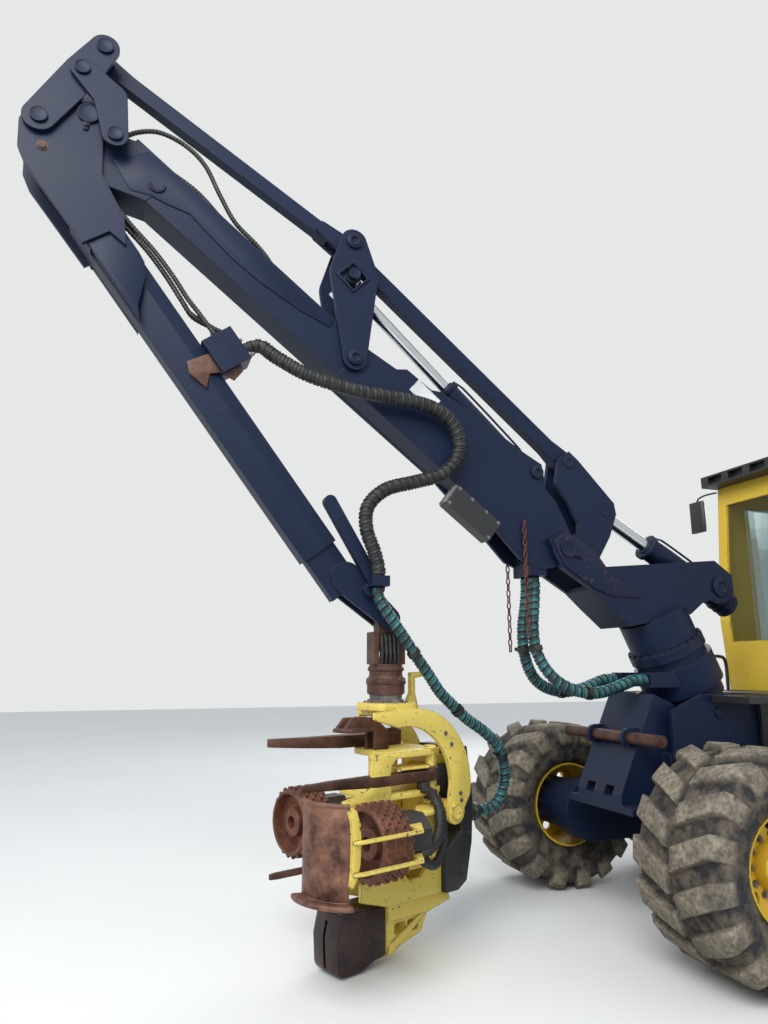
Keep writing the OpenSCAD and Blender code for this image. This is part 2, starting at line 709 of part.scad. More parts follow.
module jib() color(navy) place() {
  along_jib() {
    difference() {
      jib_section(0);
      translate([300, 0, 0]) jib_section(jib_wall);
    }
    // wear pads at the mouth
    for (z = [jib_wall - 1, jib_d - jib_wall - ext_gap + fit])
      translate([jib_len - 160, -45, z]) cube([150, 90, ext_gap - fit + 1]);
    // hose block on the inner face
    translate([1130, -40, -230]) cube([260, 200, 231]);
  }
  plates(plate_t, jib_plate_in) union() {
    polygon([[4090, 5480], [4280, 5520], [4560, 5440], [4600, 5330], [4590, 5130], [4540, 5020], [4150, 4520],
      [3990, 4640], [3880, 4560], [3905, 4760], [4065, 5050]]);
    translate(pin_j) circle(r = 95);
    translate(pin_k3) circle(r = 110);
  }
  // cheek plates joined to the box
  plates(jib_plate_in - jib_w / 2 + 35, jib_w / 2 - 35) polygon([[4070, 4870], [4480, 5040], [4100, 4500], [3930, 4640]]);
  cross(pin_j, pin_r + 5, 2 * (jib_plate_in + plate_t + 10));
  cross(pin_k3, pin_r, 2 * (knuckle_in + plate_t + 10));
}

module extension() color(navy) place() difference() {
  union() {
    along_jib() translate([1500, 0, 0]) intersection() {
      rotate([90, 0, 90]) linear_extrude(jib_len - 1500 + ext_out) polygon([
        [-jib_w / 2 + 40, jib_wall + ext_gap], [jib_w / 2 - 40, jib_wall + ext_gap],
        [jib_w / 2 - 20, jib_d * 0.36], [jib_w / 2 - 60, jib_d - jib_wall - ext_gap],
        [-jib_w / 2 + 60, jib_d - jib_wall - ext_gap], [-jib_w / 2 + 20, jib_d * 0.36]
      ]);
    }
    plates(30, 60) link_2d(along_jib_at(jib_len + 250, 90), tip_pin, 110, 75);
    // hose carrier beside the jib
    side_plate(60, 120) link_2d(carrier_top, carrier_foot, 45, 45);
    side_plate(150, 75) link_2d(carrier_foot, [2150, 2330], 45, 45);
    translate([hose_mid[0] - 60, hose_mid[1] - 65, hose_mid[2]]) cube([120, 130, 70]);
  }
  cross(tip_pin, pin_r + fit, 400);
}

function along_jib_at(s, t) = jib_start + s * [cos(jib_dir), sin(jib_dir)] + t * [-sin(jib_dir), cos(jib_dir)];

// Tip link, rotator and head

module tip_link() color(rust) place() {
  difference() {
    union() {
      side_plate(100) link_2d(tip_pin, tip_pin - [0, 160], 75, 70);
    }
    translate([tip_pin[0], 0, tip_pin[1] - 160]) rotate([0, 90, 0]) cylinder(r = pin_r + fit, h = 400, center = true);
  }
  cross(tip_pin, pin_r, 200);
}

module rotator() color(dark) place() {
  translate([head_x, 0, 0]) {
    for (s = [-1, 1]) translate([s * 95 - 20, -75, tip_pin[1] - 270]) cube([40, 150, 180]);
    translate([0, 0, tip_pin[1] - 160]) rotate([0, 90, 0]) cylinder(r = pin_r, h = 180, center = true);
    translate([-115, -75, tip_pin[1] - 310]) cube([230, 150, 50]);
    translate([0, 0, 1700]) cylinder(r = 115, h = tip_pin[1] - 310 - 1700);
    translate([0, 0, 1640]) cylinder(r = 130, h = 60);
  }
}

// Puts a piece drawn about the rotator's axis, facing +x, where the head hangs
module on_head() place() translate([head_x, 0, 0]) rotate([0, 0, head_turn]) children();

// Heights of the head's shelves, each shelf_t thick, and its pivots, as places
// about the rotator's axis
shelf_t = 50;
shelf_z = [570, 1000, 1220];
tilt_at = [-420, 860];
arm_at = [-230, 190];
arm_pin_r = 30;
saw_top = 340;
roller_x = 290;
roller_z = 810;
roller_y = 400;
roller_axle_r = 40;
cover_back = -700;

// Where the head's hose enters the back cover
cover_in = [head_x + (cover_back - fit) * cos(head_turn) - 150 * sin(head_turn),
  (cover_back - fit) * sin(head_turn) + 150 * cos(head_turn), 820];

module head_frame() color(yellow) on_head() {
  translate([0, 0, 1580]) cylinder(r = 120, h = 60 - fit);
  translate([-170, -150, 1530]) cube([330, 300, 51]);
  difference() {
    plates(30, 260) polygon([
      [240, 1500], [-100, 1560], [-450, 1370], [-620, 1160], [-620, 980], [-490, 790], [-350, 790],
      [-480, 1000], [-480, 1140], [-330, 1320], [-80, 1430], [240, 1440]
    ]);
    cross(tilt_at, pin_r + fit, 1000);
  }
  translate([-120, -270, 1440]) cube([140, 540, 60]);
  translate([-160, -150, 1499]) cube([300, 300, 40]);
}

module head_body() color(yellow) on_head() {
  translate([-420, -150, saw_top]) cube([160, 300, shelf_z[2] + shelf_t - saw_top]);
  for (z = shelf_z) translate([-420, -240, z]) cube([320, 480, shelf_t]);
  translate([-480, -180, saw_top]) cube([560, 360, 100]);
  cross(tilt_at, pin_r, 2 * 300);
  cross(tilt_at, 70, 2 * 254);
  translate([cover_back, -210, 400]) cube([180, 420, 560]);
  translate([-560, -150, 600]) cube([150, 300, 200]);
  for (s = [-1, 1]) translate([arm_at[0], s * arm_at[1], shelf_z[0]])
    cylinder(r = arm_pin_r, h = shelf_z[2] + shelf_t - shelf_z[0]);
}

module saw_box() color(rust) on_head()
  side_plate(320, 0) polygon([[-430, saw_top], [620, saw_top], [600, 250], [480, head_lift], [400, head_lift],
    [60, 120], [-380, 160]]);

// A hub on the arm's pin between two shelves
module arm_hub(side, low, high) translate([arm_at[0], side * arm_at[1], low + 1]) cylinder(r = 50, h = high - low - 2);

module arm_bore(side) translate([arm_at[0], side * arm_at[1], 0]) cylinder(r = arm_pin_r + fit, h = 2000);

module feed_arm(side) color(yellow) on_head() difference() {
  union() {
    arm_hub(side, shelf_z[0] + shelf_t, shelf_z[1]);
    translate([arm_at[0], side * (arm_at[1] + 130) - 130, 680]) cube([110, 260, 260]);
    translate([arm_at[0] + 40, side * (roller_y + 30) - 60, 670]) cube([roller_x - arm_at[0] - 40 - run, 120, 280]);
    translate([roller_x - 120, side * roller_y, roller_z]) rotate([0, 90, 0]) cylinder(r = 100, h = 120 - run);
    translate([roller_x - 120, side * roller_y, roller_z]) rotate([0, 90, 0]) cylinder(r = roller_axle_r, h = 240);
  }
  arm_bore(side);
}

module feed_arm_left() feed_arm(1);
module feed_arm_right() feed_arm(-1);

module roller(side) color(rust) on_head() translate([roller_x, side * roller_y, roller_z]) rotate([0, 90, 0])
  difference() {
    cylinder(r = 225, h = 220);
    translate([0, 0, -1]) cylinder(r = roller_axle_r + fit, h = 122);
    translate([0, 0, 140]) cylinder(r = 185, h = 81);
  }
module roller_left() roller(1);
module roller_right() roller(-1);

module knife(side) color(rust) on_head() difference() {
  union() {
    arm_hub(side, shelf_z[1] + shelf_t, shelf_z[2]);
    translate([arm_at[0], side * (arm_at[1] + 40) - 40, 1100]) cube([640, 80, 70]);
  }
  arm_bore(side);
}
module knife_left() knife(1);
module knife_right() knife(-1);

module work_lamp() color(dark) place() along_boom()
  translate([560, boom_w / 2, -420]) cube([420, 120, 170]);

module chains() color(rust) place() for (c = [[930, 2900, 2010, 1], [915, 2735, 1910, -1]])
  translate([c[0], c[3] * (boom_w / 2 + 20 + fit), c[2]]) cylinder(r = 20, h = c[1] - c[2]);

base_route = [
  [hose_start[0], 60, hose_start[1] - fit], [hose_start[0], 60, hose_start[1] - 90], [825, 65, 2260],
  [845, 75, 2120], [840, 85, 1970], [800, 110, 1840], [720, 140, 1730], [600, 165, 1660], [440, hose_y, 1630],
  [280, hose_y, 1650], [150, hose_y, 1690], [50, hose_y, hose_end_z], [hose_end_x + fit, hose_y, hose_end_z]
];

module base_hoses() color(teal) place() for (s = [-1, 1])
  hose([for (p = base_route) [p[0], s * p[1], p[2]]], 45);

hose_out = along_jib_at(1300, -230 - fit);
hose_bend = along_jib_at(1300, -290);
jib_route = [
  [hose_out[0], 60, hose_out[1]], [hose_bend[0], 60, hose_bend[1]], [2950, 100, 4010], [2840, 150, 3920],
  [2610, 215, 3790], [2250, 240, 3715], [1930, 240, 3700], [1700, 230, 3670], [1550, 225, 3580],
  [1490, 220, 3440], [1520, 215, 3290], [1650, 210, 3170], [1850, 210, 3100], [2060, 210, 3030],
  [2190, 210, 2900], [2200, 210, 2740], [2140, 205, 2580],
  [hose_mid[0], hose_mid[1], hose_mid[2] + 120], [hose_mid[0], hose_mid[1], hose_mid[2] + 70 + fit]
];

module jib_hoses() color(dark) place() hose(jib_route, 50);

head_route = [
  [hose_mid[0], hose_mid[1], hose_mid[2] - fit], [hose_mid[0], hose_mid[1], hose_mid[2] - 60], [2070, 205, 2210],
  [2000, 208, 2110], [1920, 204, 2000], [1830, 190, 1880], [1730, 165, 1760], [1640, 135, 1650], [1530, 100, 1560],
  [1400, 60, 1460], [1250, 20, 1370], [1130, -20, 1270], [1060, -60, 1150], [1040, -90, 1010], [1075, -115, 890],
  [1140, -125, 835], cover_in + [-70 * cos(head_turn), -70 * sin(head_turn), 0], cover_in
];

module head_hose() color(teal) place() hose(head_route, 40);

front_frame();
front_bar();
bogie_axle();
bogie_boxes();
tyre_front_left();
tyre_front_right();
tyre_mid_left();
tyre_mid_right();
tyre_rear_left();
tyre_rear_right();
rim_front_left();
rim_front_right();
rim_mid_left();
rim_mid_right();
rim_rear_left();
rim_rear_right();
deck();
cab_shell();
cab_roof();
cab_glass();
cab_door();
door_glass();
seat();
rear_frame();
rear_axle();
engine_hood();
engine();
exhaust();
crane_base();
pillar();
lift_barrel();
lift_rod();
rocker();
main_boom();
mid_lever();
lower_tie();
upper_tie();
jib_barrel();
jib_rod();
knuckle_lever();
knuckle_link();
jib();
extension();
tip_link();
rotator();
head_frame();
head_body();
saw_box();
feed_arm_left();
feed_arm_right();
roller_left();
roller_right();
knife_left();
knife_right();
work_lamp();
chains();
base_hoses();
jib_hoses();
head_hose();
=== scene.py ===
import math
from bisect import bisect_left
import bpy
from mathutils import Vector, Matrix


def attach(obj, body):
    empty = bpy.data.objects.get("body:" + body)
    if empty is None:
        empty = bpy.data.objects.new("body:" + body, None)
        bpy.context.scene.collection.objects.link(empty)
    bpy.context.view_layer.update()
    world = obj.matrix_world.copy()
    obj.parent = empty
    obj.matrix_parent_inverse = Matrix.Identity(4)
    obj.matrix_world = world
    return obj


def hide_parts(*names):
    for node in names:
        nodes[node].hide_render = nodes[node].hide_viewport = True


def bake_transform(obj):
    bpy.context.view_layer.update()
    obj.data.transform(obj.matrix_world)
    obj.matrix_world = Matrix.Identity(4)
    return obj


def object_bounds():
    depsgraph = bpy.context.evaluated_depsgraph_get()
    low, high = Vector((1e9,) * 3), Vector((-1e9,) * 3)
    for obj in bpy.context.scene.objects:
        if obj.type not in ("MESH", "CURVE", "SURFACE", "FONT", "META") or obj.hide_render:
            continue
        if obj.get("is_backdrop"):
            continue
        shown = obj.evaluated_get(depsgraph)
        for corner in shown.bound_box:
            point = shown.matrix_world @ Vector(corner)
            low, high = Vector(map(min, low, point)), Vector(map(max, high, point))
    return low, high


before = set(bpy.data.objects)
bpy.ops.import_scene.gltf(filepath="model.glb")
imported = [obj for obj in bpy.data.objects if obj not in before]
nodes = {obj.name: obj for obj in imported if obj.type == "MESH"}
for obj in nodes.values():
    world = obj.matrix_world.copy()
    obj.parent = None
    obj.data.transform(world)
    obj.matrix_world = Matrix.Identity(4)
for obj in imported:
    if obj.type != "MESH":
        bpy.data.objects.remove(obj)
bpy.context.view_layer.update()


# Camera
# It stands low at the machine's left front, where the photograph was taken, and looks back and
# a little up at the crane. Its place, heading, pitch and focal length were fitted to the wheels
# and to the crane's pins.
camera_place = Vector((4.723, 4.830, 1.812))
camera_heading = math.radians(-109.86)
camera_pitch = math.radians(12.13)
photo_height = 1024
photo_focal = 725
sensor = 24.0

bpy.ops.object.select_all(action="DESELECT")
bpy.ops.object.camera_add(location=camera_place)
camera = bpy.context.object
camera.name = "camera"
camera.data.sensor_fit = "VERTICAL"
camera.data.sensor_height = sensor
camera.data.lens = sensor * photo_focal / photo_height
camera_aim = Vector((math.cos(camera_heading) * math.cos(camera_pitch),
                     math.sin(camera_heading) * math.cos(camera_pitch),
                     math.sin(camera_pitch)))
camera.rotation_euler = camera_aim.to_track_quat("-Z", "Y").to_euler()
bpy.context.scene.camera = camera


# Hoses
# Bundles of rubber hoses in black sleeves, wound with a plastic spiral guard: teal at the crane base
# and the head, black along the jib. They run from base to boom, hang from the jib to its extension,
# and loop down to the head. Clamps hold each bundle where it passes from one body to the next.
front_axle_x = 0.980
head_turn = math.radians(20)
head_x = 1.985
cover_back = -0.7003
socket_y = 0.150
socket_z = 0.820
base_radius = 0.044
jib_radius = 0.050
head_radius = 0.040
guard_pitch = 0.052
guard_width = 0.034
guard_lip = 0.003
guard_wall = 0.006
clamp_wall = 0.006
clamp_width = 0.036
hose_step = 0.02
hands = ((1, "left"), (-1, "right"))


def rgb(code):
    """An sRGB hex colour as the linear colour that a shader takes."""
    channels = [int(code[i:i + 2], 16) / 255 for i in (1, 3, 5)]
    return (*[c / 12.92 if c <= 0.04045 else ((c + 0.055) / 1.055) ** 2.4 for c in channels], 1.0)


def add(tree, kind, sockets=None, ramp=(), **settings):
    """Adds a shader node with its settings and ramp colours, and fills or links its inputs."""
    made = tree.nodes.new("ShaderNode" + kind)
    for key, value in settings.items():
        setattr(made, key, value)
    for k, (position, colour) in enumerate(ramp):
        made.color_ramp.elements[k].position = position
        made.color_ramp.elements[k].color = colour
    for key, value in (sockets or {}).items():
        if isinstance(value, bpy.types.NodeSocket):
            tree.links.new(value, made.inputs[key])
        else:
            made.inputs[key].default_value = value
    return made


def new_material(name):
    """An empty material, its node tree, and the place on the piece by which its textures lie."""
    material = bpy.data.materials.new(name)
    material.use_nodes = True
    tree = material.node_tree
    tree.nodes.clear()
    return material, tree, add(tree, "TexCoord").outputs["Object"]


def rubber_sleeve():
    """Black braided hose sleeve: a fine weave in the bump and dry grey dust in its hollows."""
    material, tree, place = new_material("rubber_sleeve")
    dust = add(tree, "TexNoise", {"Vector": place, "Scale": 1 / 0.05, "Detail": 4.0})
    tone = add(tree, "ValToRGB", {"Fac": dust.outputs["Fac"]}, ramp=[(0.45, rgb("#17181b")), (0.75, rgb("#3b3a38"))])
    weave = add(tree, "TexVoronoi", {"Vector": place, "Scale": 1 / 0.004})
    bump = add(tree, "Bump", {"Height": weave.outputs["Distance"], "Strength": 0.3, "Distance": 0.001})
    shader = add(tree, "BsdfPrincipled", {
        "Base Color": tone.outputs["Color"], "Roughness": 0.55, "Normal": bump.outputs["Normal"]})
    add(tree, "OutputMaterial", {"Surface": shader.outputs["BSDF"]})
    return material


def teal_guard():
    """Moulded teal polyethylene, chalky where the sun has faded it and scuffed on its outside."""
    material, tree, place = new_material("teal_guard")
    fade = add(tree, "TexNoise", {"Vector": place, "Scale": 1 / 0.09, "Detail": 5.0})
    tone = add(tree, "ValToRGB", {"Fac": fade.outputs["Fac"]}, ramp=[(0.35, rgb("#143a40")), (0.70, rgb("#35787b"))])
    scuff = add(tree, "TexNoise", {"Vector": place, "Scale": 1 / 0.006, "Detail": 2.0})
    bump = add(tree, "Bump", {"Height": scuff.outputs["Fac"], "Strength": 0.25, "Distance": 0.001})
    shader = add(tree, "BsdfPrincipled", {
        "Base Color": tone.outputs["Color"], "Roughness": 0.38, "Normal": bump.outputs["Normal"]})
    add(tree, "OutputMaterial", {"Surface": shader.outputs["BSDF"]})
    return material


def smooth_line(points, step):
    """Points about a step apart on a smooth curve through the points of a route."""
    points = [Vector(p) for p in points]
    ends = [2 * points[0] - points[1], *points, 2 * points[-1] - points[-2]]
    line = [points[0]]
    for a, b, c, d in zip(ends, ends[1:], ends[2:], ends[3:]):
        pieces = max(1, round((c - b).length / step))
        for i in range(1, pieces + 1):
            t = i / pieces
            line.append(0.5 * (2 * b + (c - a) * t + (2 * a - 5 * b + 4 * c - d) * t ** 2
                               + (3 * b - a - 3 * c + d) * t ** 3))
    return line


def line_frames(line):
    """For each point of a line: its distance along, itself, and two directions across the line."""
    frames = []
    travelled = 0.0
    side = None
    for i, point in enumerate(line):
        along = (line[min(i + 1, len(line) - 1)] - line[max(i - 1, 0)]).normalized()
        if side is None:
            side = along.orthogonal().normalized()
        else:
            travelled += (point - line[i - 1]).length
            side = (side - side.dot(along) * along).normalized()
        frames.append((travelled, point, side, along.cross(side), along))
    return frames


def mesh_piece(name, points, faces, materials, face_materials=None):
    """An object with this mesh and these materials, its place in its mesh."""
    mesh = bpy.data.meshes.new(name)
    mesh.from_pydata([tuple(p) for p in points], [], faces)
    for material in materials:
        mesh.materials.append(material)
    if face_materials:
        mesh.polygons.foreach_set("material_index", face_materials)
    piece = bpy.data.objects.new(name, mesh)
    bpy.context.scene.collection.objects.link(piece)
    mesh.polygons.foreach_set("use_smooth", [True] * len(mesh.polygons))
    mesh.update()
    return piece


def frame_at(frames, distance):
    """The point and the directions of a line at some distance along it."""
    at = max(0, min(bisect_left(frames, distance, key=lambda f: f[0]) - 1, len(frames) - 2))
    share = (distance - frames[at][0]) / max(1e-9, frames[at + 1][0] - frames[at][0])
    return [frames[at][k].lerp(frames[at + 1][k], share) for k in (1, 2, 3, 4)]


def circle(centre, u, v, radius, sides):
    """Points round a centre, in the plane of the directions u and v."""
    return [centre + radius * (math.cos(a) * u + math.sin(a) * v)
            for a in [2 * math.pi * k / sides for k in range(sides)]]


def tube_faces(steps, sides):
    """Faces of a closed tube with that many steps between its circles."""
    faces = [(i * sides + k, i * sides + (k + 1) % sides, (i + 1) * sides + (k + 1) % sides, (i + 1) * sides + k)
             for i in range(steps) for k in range(sides)]
    return faces + [tuple(range(sides))[::-1], tuple(steps * sides + k for k in range(sides))]


def guarded_hose(name, line, radius, materials, sides=20, turn_steps=24):
    """A sleeve along a line, wound with a spiral guard that has a lip along both of its edges."""
    frames = line_frames(line)
    points = [p for _, centre, u, v, _ in frames for p in circle(centre, u, v, radius - guard_wall, sides)]
    faces = tube_faces(len(line) - 1, sides)
    kinds = [0] * len(faces)
    length = frames[-1][0]
    profile = [(-0.5, -0.004), (-0.5, guard_lip), (-0.36, guard_lip), (-0.30, 0.0),
               (0.30, 0.0), (0.36, guard_lip), (0.5, guard_lip), (0.5, -0.004)]
    turns = (length - 1.5 * guard_width) / guard_pitch
    count = int(turns * turn_steps)
    first = len(points)
    for i in range(count + 1):
        middle = 0.75 * guard_width + i * (length - 1.5 * guard_width) / count
        a = 2 * math.pi * middle / guard_pitch
        centre, side, up, along = frame_at(frames, middle)
        out = (math.cos(a) * side + math.sin(a) * up).normalized()
        for across, height in profile:
            points.append(centre + along * across * guard_width + out * (radius - 0.002 + height))
    ring = len(profile)
    for i in range(count):
        for k in range(ring - 1):
            a = first + i * ring + k
            faces.append((a, a + 1, a + ring + 1, a + ring))
            kinds.append(1)
    return mesh_piece(name, points, faces, materials, kinds)


def deselect():
    bpy.ops.object.select_all(action="DESELECT")


def only(piece):
    """Makes a piece the one that is selected and active."""
    deselect()
    piece.select_set(True)
    bpy.context.view_layer.objects.active = piece


def shape(piece, kind, **settings):
    """Puts a modifier on a piece and applies it."""
    only(piece)
    bpy.ops.object.modifier_add(type=kind)
    modifier = piece.modifiers[-1]
    for key, value in settings.items():
        setattr(modifier, key, value)
    bpy.ops.object.modifier_apply(modifier=modifier.name)


def join(pieces, name):
    deselect()
    for piece in pieces:
        piece.select_set(True)
    bpy.context.view_layer.objects.active = pieces[0]
    if len(pieces) > 1:
        bpy.ops.object.join()
    pieces[0].name = name
    pieces[0].data.name = name
    return pieces[0]


def clamp_ring(name, line, index, radius, material):
    """A band clamp round a hose with a lug for its bolt."""
    along = (line[index + 1] - line[index - 1]).normalized()
    turn = along.to_track_quat("Z", "Y").to_matrix().to_4x4()
    deselect()
    bpy.ops.mesh.primitive_cylinder_add(
        vertices=32, radius=radius + clamp_wall, depth=clamp_width, end_fill_type="NOTHING")
    band = bpy.context.object
    shape(band, "SOLIDIFY", thickness=clamp_wall)
    shape(band, "BEVEL", width=0.0015, segments=2)
    bpy.ops.mesh.primitive_cube_add(size=1, location=(radius + 0.016, 0, 0), scale=(0.026, 0.012, 0.028))
    lug = bpy.context.object
    shape(lug, "BEVEL", width=0.003)
    piece = join([band, lug], name)
    piece.data.transform(Matrix.Translation(line[index]) @ turn)
    piece.data.materials.append(material)
    return piece


def from_front_axle(points):
    return [(front_axle_x + x, y, z) for x, y, z in points]


sleeve_rubber = rubber_sleeve()
guard_plastic = teal_guard()

# Base hoses: from under the boom to the blocks on the crane base, one on each side
base_route = from_front_axle([
    (0.810, 0.060, 2.4897), (0.810, 0.060, 2.400), (0.825, 0.065, 2.260), (0.845, 0.075, 2.120),
    (0.840, 0.085, 1.970), (0.800, 0.110, 1.840), (0.720, 0.140, 1.730), (0.600, 0.165, 1.660),
    (0.440, 0.180, 1.630), (0.280, 0.180, 1.650), (0.150, 0.180, 1.690), (0.050, 0.180, 1.720),
    (-0.0597, 0.180, 1.720)])
base_bodies = ["boom", "rocker", "pillar", "crane_base"]
base_shares = [0.0, 1 / 3, 2 / 3, 1.0]

# Jib hoses: from the jib's hose block in a wide loop to the carrier on the extension
jib_dir = math.radians(-127.05)
jib_start = (4.040, 4.865)


def along_jib(s, t):
    return (jib_start[0] + s * math.cos(jib_dir) - t * math.sin(jib_dir),
            jib_start[1] + s * math.sin(jib_dir) + t * math.cos(jib_dir))


hose_out = along_jib(1.300, -0.2303)
hose_bend = along_jib(1.300, -0.290)
jib_route = from_front_axle([
    (hose_out[0], 0.060, hose_out[1]), (hose_bend[0], 0.060, hose_bend[1]), (2.950, 0.100, 4.010),
    (2.840, 0.150, 3.920), (2.610, 0.215, 3.790), (2.250, 0.240, 3.715), (1.930, 0.240, 3.700),
    (1.700, 0.230, 3.670), (1.550, 0.225, 3.580), (1.490, 0.220, 3.440), (1.520, 0.215, 3.290),
    (1.650, 0.210, 3.170), (1.850, 0.210, 3.100), (2.060, 0.210, 3.030), (2.190, 0.210, 2.900),
    (2.200, 0.210, 2.740), (2.140, 0.205, 2.580), (2.110, 0.200, 2.470), (2.110, 0.200, 2.4203)])

# Head hose: from the extension in one long bend to the cover at the back of the head
cover_in = (head_x + cover_back * math.cos(head_turn) - socket_y * math.sin(head_turn),
            cover_back * math.sin(head_turn) + socket_y * math.cos(head_turn), socket_z)
head_route = from_front_axle([
    (2.110, 0.200, 2.3497), (2.110, 0.200, 2.290), (2.070, 0.205, 2.210), (2.000, 0.208, 2.110),
    (1.920, 0.204, 2.000), (1.830, 0.190, 1.880), (1.730, 0.165, 1.760), (1.640, 0.135, 1.650),
    (1.530, 0.100, 1.560), (1.400, 0.060, 1.460), (1.250, 0.020, 1.370), (1.130, -0.020, 1.270),
    (1.060, -0.060, 1.150), (1.040, -0.090, 1.010), (1.075, -0.115, 0.890), (1.140, -0.125, 0.835),
    (cover_in[0] - 0.070 * math.cos(head_turn), cover_in[1] - 0.070 * math.sin(head_turn), socket_z),
    cover_in])
head_bodies = ["extension", "tip_link", "rotator", "head_frame", "head_body"]
head_shares = [0.0, 0.24, 0.49, 0.74, 1.0]


def hose_run(name, route, radius, bodies, shares, node, guard=guard_plastic):
    """A hose as one piece from each body to the next, with a clamp where two pieces meet."""
    line = smooth_line(route, hose_step)
    spans = [travelled for travelled, *_ in line_frames(line)]
    cuts = [min(range(len(line)), key=lambda i: abs(spans[i] - share * spans[-1])) for share in shares]
    for i, (a, b) in enumerate(zip(cuts, cuts[1:])):
        part = line[a:b + 1]
        piece = guarded_hose(f"{name}_{i + 1}", part, radius, [sleeve_rubber, guard])
        last = b == len(line) - 1
        rings = []
        if not last:
            rings = [clamp_ring(f"{name}_clamp_{i + 1}", line, b, radius, sleeve_rubber)]
            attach(rings[0], bodies[i + 1])
        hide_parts(node)
        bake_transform(piece)


for side, hand in hands:
    hose_run(f"base_hose_{hand}", [(x, side * y, z) for x, y, z in base_route], base_radius, base_bodies, base_shares,
             "base_hoses")
hose_run("jib_hose", jib_route, jib_radius, ["jib", "extension"], [0.0, 1.0], "jib_hoses",
         guard=sleeve_rubber)
hose_run("head_hose", head_route, head_radius, head_bodies, head_shares, "head_hose")


# Floor, backdrop and light
# A plain pale floor and backdrop, with the soft light of a bright overcast day: one wide light
# high on the camera's side, a weaker one behind the machine, and a pale sky.
stage_tone = "#e6e8e7"
floor_size = 60.0
sky_light = 0.75

bpy.context.scene.view_settings.view_transform = "Standard"

deselect()
bpy.ops.mesh.primitive_plane_add(size=floor_size, location=(0, 0, 0))
floor = bpy.context.object
floor.name = "studio_floor"
floor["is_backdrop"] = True


def seen_by_eye(tree):
    """Is 1 for rays from the camera, also by way of a mirror or glass, and 0 for those that light things."""
    path = add(tree, "LightPath")
    glossy = add(tree, "Math", {0: path.outputs["Is Camera Ray"], 1: path.outputs["Is Glossy Ray"]},
                 operation="MAXIMUM")
    return add(tree, "Math", {0: glossy.outputs["Value"], 1: path.outputs["Is Transmission Ray"]},
               operation="MAXIMUM").outputs["Value"]


def studio_floor():
    """Matt pale floor sheet with a faint mottling."""
    material, tree, place = new_material("studio_floor")
    mottle = add(tree, "TexNoise", {"Vector": place, "Scale": 1 / 2.0, "Detail": 3.0})
    tone = add(tree, "ValToRGB", {"Fac": mottle.outputs["Fac"]}, ramp=[(0.0, rgb("#f0f0ed")), (1.0, rgb("#f7f7f4"))])
    colour = add(tree, "Mix", {0: seen_by_eye(tree), 6: rgb("#b9bab7"), 7: tone.outputs["Color"]}, data_type="RGBA")
    shader = add(tree, "BsdfPrincipled", {"Base Color": colour.outputs[2], "Roughness": 0.85})
    add(tree, "OutputMaterial", {"Surface": shader.outputs["BSDF"]})
    return material


floor.data.materials.append(studio_floor())

world = bpy.data.worlds.new("studio")
bpy.context.scene.world = world
world.use_nodes = True
world.node_tree.nodes.clear()
sky = add(world.node_tree, "Background", {"Color": rgb("#dfe6ee"), "Strength": sky_light})
seen = add(world.node_tree, "Background", {"Color": rgb(stage_tone), "Strength": 1.0})
mix = add(world.node_tree, "MixShader", {
    "Fac": seen_by_eye(world.node_tree), 1: sky.outputs["Background"], 2: seen.outputs["Background"]})
add(world.node_tree, "OutputWorld", {"Surface": mix.outputs["Shader"]})

for name, place, aim, size, power in [
        ("key_light", (8.0, 7.0, 9.0), (0.5, 0.0, 2.0), 7.0, 1100.0),
        ("rim_light", (-6.0, -9.0, 8.0), (0.0, 0.0, 2.0), 7.0, 450.0)]:
    bpy.ops.object.light_add(type="AREA", location=place)
    light = bpy.context.object
    light.name = name
    light.data.size = size
    light.data.energy = power
    light.rotation_euler = (Vector(aim) - Vector(place)).to_track_quat("-Z", "Y").to_euler()


# Paint and steel of the parts whose shape is already right
# Welded plate and castings, sprayed navy or yellow after welding. The paint is rubbed through on
# edges, chipped where logs strike it, and dusty on top; pins, tines and guards have no paint left.
navy_parts = ["front_frame", "bogie_axle", "bogie_boxes", "rear_frame", "rear_axle", "crane_base", "pillar",
              "lift_barrel", "rocker", "main_boom", "mid_lever", "lower_tie", "upper_tie", "jib_barrel",
              "knuckle_lever", "knuckle_link", "jib", "extension"]
yellow_parts = ["rim_front_left", "rim_front_right", "rim_mid_left", "rim_mid_right", "rim_rear_left",
                "rim_rear_right", "cab_shell", "cab_door", "engine_hood"]
dark_parts = ["cab_roof", "deck", "exhaust", "work_lamp"]
rusty_parts = ["front_bar", "tip_link", "rotator"]


